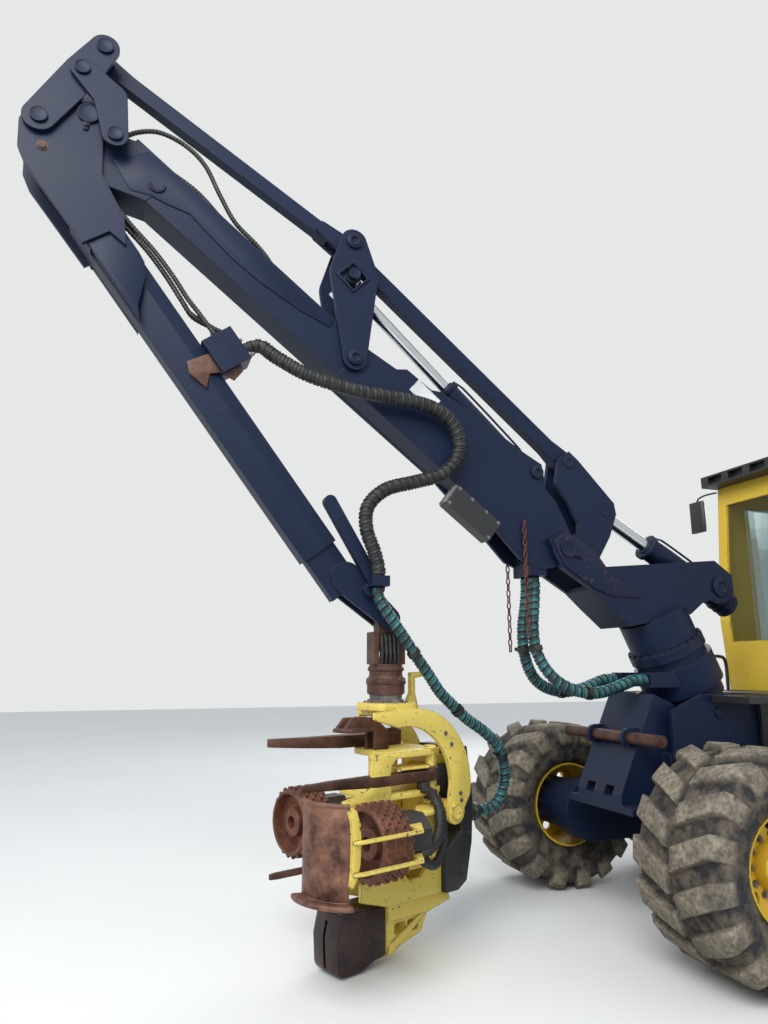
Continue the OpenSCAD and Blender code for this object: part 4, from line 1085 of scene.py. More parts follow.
dress(join(lamp_bolts, "lamp_bolts"), "boom", "lamp_black", zinc)


# Jib fittings
# A rusty steel bracket is welded on the jib's side under its hose block. Hose ends of zinc-plated
# steel are screwed in round the block, and a small rusty plug sits near the knuckle.
bracket_y = 0.124
bracket_outline = [(3.445, 3.818), (3.305, 3.895), (3.197, 3.880), (3.085, 3.862), (3.070, 3.800),
                   (3.125, 3.725), (3.225, 3.770), (3.290, 3.752), (3.306, 3.646), (3.425, 3.736)]


def jib_frame():
    """Local x runs down the jib from its upper end, local z towards its outer face."""
    return Matrix.Translation((front_axle_x + jib_start[0], 0, jib_start[1])) @ Matrix.Rotation(-jib_dir, 4, "Y")


bracket = flat_plate(bracket_outline, 0.012)
shape(bracket, "BEVEL", width=0.002, segments=2)
bracket_at = Matrix.Translation((front_axle_x, bracket_y, 0)) @ rotation(90, "X")
fit(bracket, "hose_bracket", bracket_at, "jib", "rusty_steel", rust_steel)

fittings = []
for k, (u, w, turn) in enumerate([(1.165, -0.230, 12), (1.230, -0.230, 4), (1.360, -0.230, -10),
                                  (1.131, -0.180, 80), (1.131, -0.110, 80)]):
    fitting = turned_ring(0.016, 0.010, 0.030)
    nut = hex_bolt(0.021, 0.018)
    fitting = join([fitting, nut], "hose_end")
    fitting.data.transform(jib_frame() @ Matrix.Translation((u, 0.03 + 0.05 * (k % 3), w)) @ rotation(180 + turn, "Y"))
    fittings.append(fitting)
dress(join(fittings, "hose_ends"), "jib", "chromed_rod", zinc)

fit(hex_bolt(0.028, 0.014), "rusty_plug", on_plate(4.445, 5.165, lever_face, 1), "jib", "rusty_steel", rust_steel)


# Slew ring
# A ring of hexagon bolts holds the pillar's flange to the slew bearing in the crane base. They are
# forged steel, and were sprayed over with the crane.
slew_foot = (-0.586, 1.633)
slew_lean = math.radians(25.6)
slew_bolts = 24
slew_radius = 0.285
slew_face = 0.4133


def ring_of(piece, name, count, radius, height, place=Matrix()):
    """Copies in a ring round the z axis of a place, at that height on it."""
    return [copy_to(piece, name, place @ Matrix.Rotation(2 * math.pi * i / count, 4, "Z")
                    @ Matrix.Translation((radius, 0, height))) for i in range(count)]


slew = Matrix.Translation((front_axle_x + slew_foot[0], 0, slew_foot[1])) @ Matrix.Rotation(slew_lean, 4, "Y")
slew_bolt = hex_bolt(0.0105, 0.014)
dress(join(ring_of(slew_bolt, "slew_bolt", slew_bolts, slew_radius, slew_face, slew), "slew_bolts"),
      "pillar", "navy_paint", navy_paint)
drop(slew_bolt)


# Wheel nuts and hub caps
# Each rim is held by a ring of zinc-plated nuts. Its planetary hub is closed by a turned steel cover
# with bolts, painted yellow with the rim.
nut_ring = 0.176
nut_count = 12
nut_face = 0.1305
cover_ring = 0.104
cover_bolt_count = 8
hub_face = 0.2405
wheel_nut = hex_bolt(0.016, 0.020)


def wheel_fasteners(body, axle, radius, side):
    centre = outward(axle, wheel_y, radius, side)
    parts = (ring_of(wheel_nut, "wheel_nut", nut_count, nut_ring, nut_face, centre)
             + ring_of(bolt, "cover_bolt", cover_bolt_count, cover_ring, hub_face, centre))
    dress(join(parts, f"{body}_nuts"), body, "rusty_steel", zinc)
    fit(turned_ring(0.086, 0.03, 0.014), f"{body}_hub_cover", centre @ Matrix.Translation((0, 0, hub_face)),
        body, "yellow_paint", yellow_paint)


for side, hand in hands:
    for row, axle, radius, _ in wheels:
        wheel_fasteners(f"wheel_{row}_{hand}", axle, radius, side)
drop(wheel_nut)


# Harvester head: hanging frame
# A yellow arch of two cut steel plates on a welded top, which hangs under the rotator and carries
# the head on its tilt pin. Bolts hold the hose guide, and the paint is knocked off along the rims.
head_place = Matrix.Translation((front_axle_x + head_x, 0, 0)) @ Matrix.Rotation(head_turn, 4, "Z")
tilt_pin = (-0.420, 0.860)
arch_in = 0.212
arch_out = 0.242
plate_edge = 0.004
base_top = 1.581


def arc_points(middle, radius, start, end, steps=16):
    angles = [math.radians(start + (end - start) * i / steps) for i in range(steps + 1)]
    return [(middle[0] + radius * math.cos(a), middle[1] + radius * math.sin(a)) for a in angles]


def upright(points, near, far, edge=plate_edge):
    """A plate cut to an outline in x and z, from y = near to y = far, its rims rounded."""
    plate = flat_plate(points, far - near)
    plate.data.transform(Matrix.Translation((0, far, 0)) @ rotation(90, "X"))
    shape(plate, "BEVEL", width=edge, segments=2, angle_limit=math.radians(40))
    return plate


def level(points, low, high, edge=plate_edge):
    """A plate cut to an outline in plan, from z = low to z = high."""
    plate = flat_plate(points, high - low)
    plate.data.transform(Matrix.Translation((0, 0, low)))
    shape(plate, "BEVEL", width=edge, segments=2, angle_limit=math.radians(40))
    return plate


def box_outline(x0, x1, y0, y1, corner=0.0):
    if not corner:
        return [(x0, y0), (x1, y0), (x1, y1), (x0, y1)]
    return [(x0 + corner, y0), (x1 - corner, y0), (x1, y0 + corner), (x1, y1 - corner), (x1 - corner, y1),
            (x0 + corner, y1), (x0, y1 - corner), (x0, y0 + corner)]


def head_piece(name, parts, body, slot, material, node=None):
    """Joins parts drawn about the rotator's axis and hangs them where the head is."""
    piece = join(parts, name)
    piece.data.transform(head_place)
    dress(piece, body, slot, material)
    if node:
        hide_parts(node)
    return piece


def arch_outline(nose, inner):
    return ([(nose, 1.530)] + arc_points((-0.060, 1.040), 0.510, 85, 180) + [(-0.560, 0.960)]
            + arc_points(tilt_pin, 0.082, 170, 345, 10) + [(-0.352, 0.905)]
            + arc_points((0.020, 1.040), inner, 180, 80) + [(nose, 1.485)])


head_yellow = worn_paint("head_yellow", "#e9cb4e", "#f5e07c", "#57382c", "#2a2321", chips=0.085, dust=0.06)
worn_steel = rusty_steel("worn_steel", "#4b4644", "#8d8984", rough=0.45, pits=0.006)
top_plate = level(box_outline(-0.190, 0.070, -arch_in - 0.001, arch_in + 0.001), 1.490, 1.531)
base_block = level(box_outline(-0.170, 0.160, -0.150, 0.150, 0.030), 1.530, base_top)
left_arch = upright(arch_outline(0.290, 0.395), arch_in, arch_out)
right_arch = upright(arch_outline(0.060, 0.440), -arch_out, -arch_in)
hose_guide = upright([(-0.190, 1.500), (-0.190, 1.600), (-0.215, 1.640), (-0.215, 1.780), (-0.340, 1.785),
                      (-0.340, 1.755), (-0.260, 1.740), (-0.260, 1.640), (-0.300, 1.500)], -0.015, 0.015, 0.002)
head_piece("head_arch", [left_arch, right_arch, top_plate, base_block, hose_guide], "head_frame", "yellow_paint",
           head_yellow, "head_frame")

slew_seat = turned([(0.040, base_top), (0.128, base_top), (0.128, 1.600), (0.112, 1.606), (0.112, 1.628),
                    (0.120, 1.634), (0.120, 1.6395), (0.040, 1.6395)])
head_piece("head_slew_seat", [slew_seat], "head_frame", "dark_paint", worn_steel)

arch_bolts = [copy_to(bolt, "arch_bolt", outward(x, arch_out, z, side))
              for x, z in [(-0.330, 1.375), (-0.385, 1.300), (-0.462, 0.975), (-0.470, 0.930)] for side, _ in hands]
base_bolts = ring_of(bolt, "base_bolt", 10, 0.145, base_top - 0.0005)
head_piece("head_frame_bolts", arch_bolts + base_bolts, "head_frame", "rusty_steel", zinc)

for side, hand in hands:
    cap = pin_cap(0.052, 0.016, "cap")
    cap.data.transform(outward(tilt_pin[0], arch_out, tilt_pin[1], side))
    head_piece(f"tilt_pin_{hand}", [cap], "head_frame", "yellow_paint", head_yellow)


# Harvester head: body
# Welded of a spine, three shelves that hold the arms' pins, ribs, and a beam over the saw. The
# yellow paint is scraped off on all edges by timber, and the steel under it has rusted.
arm_pin = (-0.230, 0.190)
shelf_heights = [0.560, 0.990, 1.240]
shelf_t = 0.040
shelf_back = [(-0.330, -0.180), (-0.250, -0.190), (-0.200, -0.240)]
shelf_end = [(-0.200, 0.240), (-0.250, 0.190), (-0.330, 0.180)]
low_shelf = [*shelf_back, (0.200, -0.240), (0.240, -0.200), (0.240, 0.200), (0.200, 0.240), *shelf_end]
top_shelf = [*shelf_back, (0.060, -0.240), (0.130, -0.180), (0.150, -0.060), (0.150, 0.150), (0.300, 0.190),
             (0.300, 0.240), *shelf_end]
cheek_outline = [(-0.350, 0.350), (0.120, 0.350), (0.330, 0.410), (0.330, 0.510), (0.130, 0.561)]
cheek_notch = [(0.020, 0.561), (-0.060, 0.480), (-0.160, 0.480), (-0.240, 0.561)]
tilt_lug = [(-0.330, 0.700), (-0.330, 1.000), (-0.420, 0.938), (-0.495, 0.880), (-0.498, 0.830), (-0.440, 0.785)]

body_parts = [level(box_outline(-0.330, -0.270, -0.150, 0.150), 0.351, 1.241)]
body_parts += [level(top_shelf if z == shelf_heights[-1] else low_shelf, z, z + shelf_t) for z in shelf_heights]
body_parts += [level([(-0.270, -0.060), (0.020, 0.100), (0.060, 0.220), (-0.180, 0.236), (-0.270, 0.150)],
                     z, z + 0.016, 0.002) for z in (1.100, 1.160)]
body_parts += [
    level(box_outline(0.030, 0.130, -0.030, 0.030), 1.029, 1.241),
    # hooked bracket from the top shelf down to the middle one and forward
    upright([(0.100, 1.245), (0.300, 1.279), (0.315, 1.110), (0.345, 1.066), (0.400, 1.048), (0.520, 1.026),
             (0.536, 1.000), (0.520, 0.962), (0.420, 0.960), (0.180, 0.992), (0.150, 1.040), (0.165, 1.120),
             (0.150, 1.200)], 0.216, 0.242, 0.006),
    level([(0.235, 0.140), (0.300, 0.160), (0.500, 0.180), (0.520, 0.200), (0.520, 0.240), (0.200, 0.240)],
          0.990, 1.020),
    upright([*cheek_outline, *cheek_notch, (-0.350, 0.561)], 0.130, 0.160),
    upright([*cheek_outline, (-0.350, 0.561)], -0.160, -0.130),
    upright([(-0.450, 0.290), (-0.430, 0.352), (0.100, 0.352), (0.100, 0.250), (-0.240, 0.250)], -0.140, 0.140, 0.008),
    upright(tilt_lug, 0.060, 0.100),
    upright(tilt_lug, -0.100, -0.060),
    level(box_outline(-0.505, -0.325, -0.060, 0.060), 1.150, 1.210),
    level(box_outline(-0.400, -0.325, -0.060, 0.060), 0.640, 0.700)]
for side, _ in hands:
    # side walls between the lower shelves, cut away in the middle
    near, far = sorted((side * 0.150, side * 0.168))
    body_parts.append(upright([(-0.330, 0.598), (-0.120, 0.598), (-0.190, 0.700), (-0.215, 0.800), (-0.190, 0.900),
                               (-0.100, 0.992), (-0.330, 0.992)], near, far))
    pin = turned([(0.001, 0.560), (0.030, 0.560), (0.030, 1.2805), (0.044, 1.281), (0.044, 1.294), (0.038, 1.300),
                  (0.001, 1.300)], 32)
    pin.data.transform(Matrix.Translation((arm_pin[0], side * arm_pin[1], 0)))
    body_parts.append(pin)
trunnion = turned([(0.001, -0.206), (0.070, -0.206), (0.070, 0.206), (0.001, 0.206)])
trunnion.data.transform(Matrix.Translation((tilt_pin[0], 0, tilt_pin[1])) @ rotation(90, "X"))
body_parts.append(trunnion)
head_piece("head_body_weldment", body_parts, "head_body", "yellow_paint", head_yellow, "head_body")

# the saw's beam, with its two windows cut through
beam = upright([(-0.260, 0.255), (0.100, 0.255), (0.100, 0.060), (-0.200, 0.140)], -0.120, 0.120, 0.006)
for x in (-0.170, -0.060):
    window_cut = box((x + 0.045, 0, 0.1975), (0.090, 0.300, 0.065))
    shape(window_cut, "BEVEL", width=0.012, segments=3)
    shape(beam, "BOOLEAN", object=window_cut, operation="DIFFERENCE", solver="EXACT")
    drop(window_cut)
foot_rib = upright([(-0.240, 0.252), (-0.180, 0.252), (0.080, 0.120), (0.100, 0.062), (0.040, 0.072)],
                   0.118, 0.132, 0.003)
head_piece("saw_beam", [beam, foot_rib], "head_body", "yellow_paint", head_yellow)

# rusty top knife with its bracket, and the lower tine on the far side
knife_brackets = [upright([(0.020, 1.279), (0.140, 1.279), (0.140, 1.400), (0.390, 1.400), (0.390, 1.425),
                           (0.330, 1.490), (0.140, 1.490), (0.020, 1.400)], middle - 0.0125, middle + 0.0125)
                  for middle in (0.0425, -0.0425)]
top_blade = level([(0.230, -0.096), (0.360, -0.096), (0.410, -0.050), (0.410, 0.050), (0.360, 0.096), (0.230, 0.096)],
                  1.400, 1.425, 0.006)
tine = level([(0.100, -0.345), (0.640, -0.345), (0.690, -0.330), (0.690, -0.312), (0.640, -0.298),
              (0.160, -0.298), (0.160, -0.130), (0.100, -0.130)], 0.505, 0.540, 0.006)
head_piece("top_knife", [*knife_brackets, top_blade, tine], "head_body", "rusty_steel", rust_steel)


# Harvester head: back cover and saw box
# The cover is bent from sheet steel and painted black. The saw box is a thick steel housing with a
# slot at its front for the stowed bar, worn brown and smooth by logs and by the ground.
cover_half = 0.200
cover = upright([(-0.583, 1.275), (-0.631, 0.900), (-0.612, 0.640), (-0.554, 0.400), (-0.470, 0.3525),
                 (-0.352, 0.3525), (-0.352, 0.560), (-0.372, 0.620), (-0.505, 0.720), (-0.512, 1.230),
                 (-0.480, 1.275)], -cover_half, cover_half, 0.010)
sink(cover, lambda centre, normal: normal.x < -0.7 and centre.z > 0.5, 0.022, (0.006, 0, 0))
socket = turned([(0.041, 0.0), (0.060, 0.0), (0.060, 0.030), (0.052, 0.038), (0.052, 0.140), (0.041, 0.140)])
socket.data.transform(Matrix.Translation((cover_back + 0.004, socket_y, socket_z)) @ rotation(90, "Y"))
cover_bolts = [copy_to(bolt, "cover_bolt", outward(x, cover_half, z, side)) for side, _ in hands
               for x, z in ((-0.520, 1.240), (-0.560, 1.050), (-0.575, 0.700), (-0.500, 0.440))]
head_piece("back_cover", [cover, socket, *cover_bolts], "head_body", "dark_paint", dark_paint)

saw_half = 0.122
saw_outline = ([(0.1005, 0.352), (0.1005, 0.060), (0.190, 0.050), (0.290, 0.014)]
               + arc_points((0.420, 0.074), 0.062, 270, 355, 6) + [(0.492, 0.220), (0.462, 0.352)])
saw = upright(saw_outline, -saw_half, saw_half, 0.016)
# slot for the bar at the front and a shallow bay in the left side
slot_cut = level(box_outline(0.430, 0.560, -0.014, 0.014, 0.004), 0.040, 0.310)
bay_cut = level(box_outline(0.120, 0.250, saw_half - 0.006, saw_half + 0.050), 0.110, 0.165, 0.002)
for cutter in (slot_cut, bay_cut):
    shape(saw, "BOOLEAN", object=cutter, operation="DIFFERENCE", solver="EXACT")
    drop(cutter)
lid = level([(0.105, -0.110), (0.440, -0.104), (0.440, 0.104), (0.105, 0.110)], 0.350, 0.358, 0.002)
saw_bolts = [copy_to(bolt, "saw_bolt", Matrix.Translation((x, side * y, 0.357)))
             for x, y in ((0.130, 0.085), (0.300, 0.085), (0.415, 0.075)) for side, _ in hands]
head_piece("saw_housing", [saw, lid, *saw_bolts], "head_body", "rusty_steel", saw_steel, "saw_box")


# Harvester head: feed arms
# Each arm swings on its pin and carries a hydraulic motor in an eight-sided black guard. A bent
# wear guard, rusted all over, stands in front of the left roller on a yellow strap and two webs.
roller_axis = (0.400, 0.810)
motor_front = 0.285
motor_radius = 0.150
motor_depth = 0.200
guard_middle = (0.590, 0.400)


def to_side(parts, side):
    """Mirrors parts that were drawn for the left side if they are for the right."""
    if side < 0:
        for part in parts:
            part.data.transform(Matrix.Diagonal((1, -1, 1, 1)))
            part.data.flip_normals()
    return parts


def feed_arm(side, hand):
    body = f"feed_arm_{hand}"
    hub = turned([(0.0305, 0.602), (0.052, 0.602), (0.052, 0.988), (0.0305, 0.988)], 32)
    hub.data.transform(Matrix.Translation((*arm_pin, 0)))
    knuckle = level([(-0.250, 0.232), (-0.180, 0.200), (-0.100, 0.220), (0.020, 0.325), (0.089, 0.340),
                     (0.089, 0.410), (0.000, 0.400), (-0.160, 0.330), (-0.250, 0.280)], 0.715, 0.905, 0.012)
    ribs = [level([(-0.240, 0.240), (-0.170, 0.190), (-0.080, 0.205), (0.020, 0.312), (0.092, 0.318),
                   (0.092, 0.440), (-0.020, 0.430), (-0.190, 0.350)], z, z + 0.020, 0.003) for z in (0.690, 0.912)]
    head_piece(f"{body}_arm", to_side([hub, knuckle, *ribs], side), body, "yellow_paint", head_yellow, body)
    deselect()
    bpy.ops.mesh.primitive_cylinder_add(vertices=8, radius=motor_radius, depth=motor_depth,
                                        location=(0, 0, motor_depth / 2), rotation=(0, 0, math.radians(22.5)))
    guard = set_down(bpy.context.object)
    sink(guard, faces_up, 0.014, (0, 0, -0.012))
    pick_faces(guard, lambda centre, normal: abs(normal.z) < 0.1)
    bpy.ops.mesh.inset(thickness=0.020, use_individual=True)
    bpy.ops.transform.shrink_fatten(value=-0.010)
    to_object_mode()
    shape(guard, "BEVEL", width=0.004, segments=2, angle_limit=math.radians(35))
    drum = turned([(0.030, 0.180), (0.112, 0.180), (0.112, 0.214), (0.100, 0.222), (0.100, 0.236), (0.040, 0.236),
                   (0.040, 0.360), (0.030, 0.360)])
    motor = [guard, drum, *ring_of(bolt, "guard_bolt", 8, 0.124, motor_depth - 0.012)]
    for part in motor:
        part.data.transform(Matrix.Translation((motor_front - motor_depth, *roller_axis)) @ rotation(90, "Y"))
    head_piece(f"feed_motor_{hand}", to_side(motor, side), body, "dark_paint", dark_paint)


for side, hand in hands:
    feed_arm(side, hand)

guard_rust = rusty_steel("guard_rust", "#43281f", "#9c6f5b", rough=0.50, pits=0.012)
# wall, flared lip and rim of the wear guard: outer radius and end angle, bottom and top, edge
guard_arc = arc_points(guard_middle, 0.266, -26, 50, 20)
guard_parts = [level(guard_arc + arc_points(guard_middle, radius, end, -26, 20), low, high, edge)
               for radius, end, low, high, edge in ((0.284, 50, 0.580, 1.085, 0.005), (0.345, 56, 0.566, 0.594, 0.010),
                                                    (0.292, 50, 1.068, 1.088, 0.006))]
head_piece("roller_guard", guard_parts, "feed_arm_left", "rusty_steel", guard_rust)
# the strap follows the wear guard's edge, and its webs reach back to the motor's guard
strap = upright([(0.752, 1.070), (0.726, 1.050), (0.700, 0.980), (0.694, 0.880), (0.700, 0.780), (0.722, 0.700),
                 (0.752, 0.660), (0.776, 0.680), (0.764, 0.760), (0.760, 0.880), (0.766, 0.980), (0.784, 1.050)],
                0.600, 0.626, 0.005)
strap_webs = [level([(0.130, 0.490), (0.262, 0.490), (0.281, 0.632), (0.700, 0.632), (0.752, 0.604), (0.752, 0.630),
                     (0.700, 0.655), (0.262, 0.655)], z, z + 0.020, 0.003) for z in (0.720, 0.880)]
head_piece("roller_guard_strap", [strap, *strap_webs], "feed_arm_left", "yellow_paint", head_yellow)


# Harvester head: feed rollers
# Hollow steel drums with rows of welded studs that bite into the bark, bolted to their motors. They
# are rusted red-brown and rubbed lighter on their edges by the timber they drive.
roller_radius = 0.204
roller_back = 0.290
stud_rows = 6
stud_pitch = 0.034
studs = 22


def feed_roller(side, hand):
    drum = turned([(0.0405, 0.000), (roller_radius - 0.012, 0.000), (roller_radius, 0.010), (roller_radius, 0.210),
                   (roller_radius - 0.010, 0.220), (0.180, 0.220), (0.172, 0.150), (0.092, 0.142), (0.088, 0.190),
                   (0.070, 0.196), (0.0405, 0.196)], 64)
    stud = box((0, 0, 0.010), (0.026, 0.030, 0.024))
    pick_faces(stud, faces_up)
    bpy.ops.transform.resize(value=(0.45, 0.65, 1))
    to_object_mode()
    parts = [drum]
    for row in range(stud_rows):
        for i in range(studs):
            a = 2 * math.pi * (i + 0.5 * (row % 2)) / studs
            foot = Matrix.Translation((roller_radius - 0.002, 0, 0.022 + row * stud_pitch))
            parts.append(copy_to(stud, "stud", Matrix.Rotation(a, 4, "Z") @ foot @ rotation(90, "Y")))
    drop(stud)
    place = Matrix.Translation((roller_back, side * roller_axis[0], roller_axis[1])) @ rotation(90, "Y")
    for part in parts:
        part.data.transform(place)
    nuts = ring_of(bolt, "roller_nut", 6, 0.078, 0.153, place)
    head_piece(f"feed_roller_{hand}", parts + nuts, f"roller_{hand}", "rusty_steel", roller_rust, f"roller_{hand}")


roller_rust = rusty_steel("roller_rust", "#4a2b21", "#8a563f", rough=0.6, pits=0.006)
for side, hand in hands:
    feed_roller(side, hand)


# Harvester head: delimbing knives
# Forged, curved blades on the arms' pins, one above the other, with a thin edge towards the stem
# and a thick back, rusted brown and rubbed lighter on the edges.
knife_plan = [(-0.270, 0.150), (-0.190, 0.132), (0.000, 0.140), (0.300, 0.150), (0.620, 0.175), (0.800, 0.214),
              (0.880, 0.240), (0.876, 0.262), (0.780, 0.258), (0.600, 0.235), (0.280, 0.245), (0.000, 0.244),
              (-0.190, 0.248), (-0.270, 0.230)]
taper_start = 0.300
taper_length = 0.580

# side, bottom and top of the blade, its length as a share of the plan's
for side, hand, low, high, reach in ((1, "left", 1.078, 1.146, 0.97), (-1, "right", 1.284, 1.366, 0.885)):
    blade = level([(x * reach if x > 0 else x, y) for x, y in knife_plan], low, high, 0.008)
    for vertex in blade.data.vertices:
        if vertex.co.x > taper_start:
            share = min(1.0, (vertex.co.x - taper_start) / taper_length)
            middle = high - 0.030
            vertex.co.z = middle + (vertex.co.z - middle) * (1 - 0.45 * share) + 0.014 * share
    blade_hub = turned([(0.0305, low), (0.056, low), (0.056, high + 0.014), (0.048, high + 0.022),
                        (0.0305, high + 0.022)], 40)
    blade_hub.data.transform(Matrix.Translation((*arm_pin, 0)))
    head_piece(f"delimbing_knife_{hand}", to_side([blade, blade_hub], side), f"knife_{hand}", "rusty_steel",
               rust_steel, f"knife_{hand}")


# Harvester head: hoses
# Black rubber hoses in spiral sleeves feed the left roller's motor. They leave the body behind the
# arm's pin and enter the motor's guard from behind.
black_hose = 0.031
black_pitch = 0.024
black_step = 0.015


def corrugated_hose(name, line, radius, pitch, material, sides=16):
    """A tube along a line whose radius swells and shrinks, as a spiral sleeve's turns show."""
    frames = line_frames(line)
    total = frames[-1][0]
    rings = max(8, int(total / pitch * 4))
    points = []
    for i in range(rings + 1):
        centre, u, v, _ = frame_at(frames, total * i / rings)
        points += circle(centre, u, v, radius * (0.97 if i % 4 < 2 else 0.86), sides)
    return mesh_piece(name, points, tube_faces(rings, sides), [material])


def black_cord(name, route, radius, bodies):
    line = smooth_line(route, black_step)
    piece = corrugated_hose(name, line, radius, black_pitch, sleeve_rubber)
    if len(bodies) > 1:
        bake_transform(piece)
    else:
        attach(piece, bodies[0])


for k, route in enumerate([
        [(-0.120, 0.262, 1.035), (-0.110, 0.330, 1.020), (-0.085, 0.410, 0.960), (-0.060, 0.455, 0.880),
         (-0.010, 0.475, 0.790), (0.040, 0.465, 0.735), (0.096, 0.445, 0.720)],
        [(-0.185, 0.262, 0.985), (-0.165, 0.330, 0.955), (-0.140, 0.390, 0.880), (-0.090, 0.425, 0.790),
         (-0.020, 0.430, 0.725), (0.040, 0.415, 0.700), (0.096, 0.400, 0.695)],
        [(-0.225, 0.260, 0.940), (-0.205, 0.320, 0.860), (-0.170, 0.370, 0.750), (-0.110, 0.400, 0.660),
         (-0.030, 0.430, 0.625), (0.040, 0.440, 0.645), (0.096, 0.440, 0.680)]]):
    black_cord(f"feed_hose_{k + 1}", [head_place @ Vector(p) for p in route], black_hose,
               ["head_body", "feed_arm_left"])
    block = level(box_outline(-0.035, 0.035, -0.035, 0.035, 0.008), -0.030, 0.030)
    block.data.transform(Matrix.Translation((route[0][0] - 0.006, route[0][1] - 0.030, route[0][2] + 0.010)))
    head_piece(f"feed_hose_block_{k + 1}", [block], "head_body", "dark_paint", dark_paint)


# Crane side plates
# Thin plates welded over the boom's outer end and the jib's upper end, cut in long soft curves so
# that the weld seams run out gently. They are painted with the crane.
boom_run = (boom_tip[0] - boom_foot[0], boom_tip[1] - boom_foot[1])
boom_length = math.hypot(*boom_run)
from_axle = Matrix.Translation((front_axle_x, 0, 0))


def on_boom(along, up):
    """A point of the crane's middle plane, given along the boom's pins and above their line."""
    c, s = boom_run[0] / boom_length, boom_run[1] / boom_length
    return (boom_foot[0] + along * c - up * s, boom_foot[1] + along * s + up * c)


end_plate = [(4.010, 5.195), (3.886, 4.995), (3.756, 4.988), (3.654, 4.950), (3.484, 4.905), (3.377, 4.804),
             (3.182, 4.628), (2.980, 4.482), (2.686, 4.319), on_boom(2.420, 0.060), on_boom(2.440, 0.124),
             on_boom(4.140, 0.124)]
jib_plate = [along_jib(s, t) for s, t in ((0.020, 0.002), (0.400, 0.002), (0.480, 0.010), (0.560, 0.050),
                                          (0.640, 0.130), (0.720, 0.215), (0.800, 0.258), (0.050, 0.258))]
# name, outline, y of the plate's inner and outer face, body
for name, outline, inner, outer, body in (("boom_end_plate", end_plate, 0.1255, 0.1350, "boom"),
                                          ("jib_side_plate", jib_plate, 0.106, 0.146, "jib")):
    for side, hand in hands:
        near, far = sorted((side * inner, side * outer))
        fit(upright(outline, near, far, 0.003), f"{name}_{hand}", from_axle, body, "navy_paint", navy_paint)
# bosses with a half-round rim, on the boom's end plates
for side, hand in hands:
    boss = turned([(0.030, 0), (0.062, 0), (0.062, 0.010), (0.054, 0.014), (0.046, 0.010), (0.040, 0.004),
                   (0.030, 0.004)])
    pick_faces(boss, lambda centre, normal: centre.y * side < -0.001)
    bpy.ops.mesh.delete(type="FACE")
    to_object_mode()
    fit(boss, f"boom_boss_{hand}", on_plate(3.715, 5.076, 0.1349, side), "boom", "navy_paint", navy_paint)


# Crane hoses
# Black rubber hoses bow over the top of the boom, from a bulkhead by the mid lever to the knuckle,
# and a bundle of three goes from the boom's end to the jib's hose block. Zinc-plated steel blocks
# with hose ends hold the first two on the boom.
crane_hose = 0.018


def bulkhead(name, place, up, body):
    """A small steel block with hexagon hose ends."""
    block = level(box_outline(-0.030, 0.030, -0.085, 0.085, 0.006), 0, 0.040, 0.003)
    nuts = [copy_to(bolt, "hose_nut", Matrix.Translation((0, y, 0.039)) @ Matrix.Scale(1.6, 4))
            for y in (-0.055, 0, 0.055)]
    turn = Vector(up).to_track_quat("Z", "Y").to_matrix().to_4x4()
    fit(join([block, *nuts], name), name, Matrix.Translation(place) @ turn, body, "navy_paint", zinc)


for k, (y, points) in enumerate([
        (0.045, [(2.860, 4.640), (2.930, 4.745), (3.013, 4.832), (3.163, 4.969), (3.279, 5.161), (3.397, 5.378),
                 (3.544, 5.504), (3.722, 5.560), (3.870, 5.520), (3.980, 5.430), (4.030, 5.350)]),
        (-0.030, [(2.900, 4.670), (2.985, 4.775), (3.088, 4.881), (3.237, 5.009), (3.423, 5.190), (3.603, 5.300),
                  (3.760, 5.370), (3.900, 5.380), (4.010, 5.330)])]):
    black_cord(f"boom_hose_{k + 1}", from_front_axle([(x, y, z) for x, z in points]), crane_hose, ["boom"])
for name, along in (("boom_bulkhead", 2.740), ("boom_hose_clamp", 3.300)):
    x, z = on_boom(along, 0.138)
    bulkhead(name, (front_axle_x + x, 0.010, z), (-boom_run[1], 0, boom_run[0]), "boom")

bundle = [(4.030, 4.990), (3.960, 4.880), (3.885, 4.780), (3.734, 4.625), (3.640, 4.510), (3.560, 4.400),
          (3.480, 4.280), (3.400, 4.180), (3.340, 4.100)]
for k, (y, shift, end) in enumerate([(0.020, 0.000, (1.150, -0.231)), (0.075, 0.022, (1.131, -0.180)),
                                     (0.125, -0.015, (1.131, -0.110))]):
    tip = along_jib(*end)
    points = [(x + shift, y * (0.4 + 0.6 * i / 8), z) for i, (x, z) in enumerate(bundle)]
    points[-1] = (tip[0], 0.035 + 0.050 * k, tip[1])
    black_cord(f"knuckle_hose_{k + 1}", from_front_axle(points), crane_hose, ["boom", "jib"])


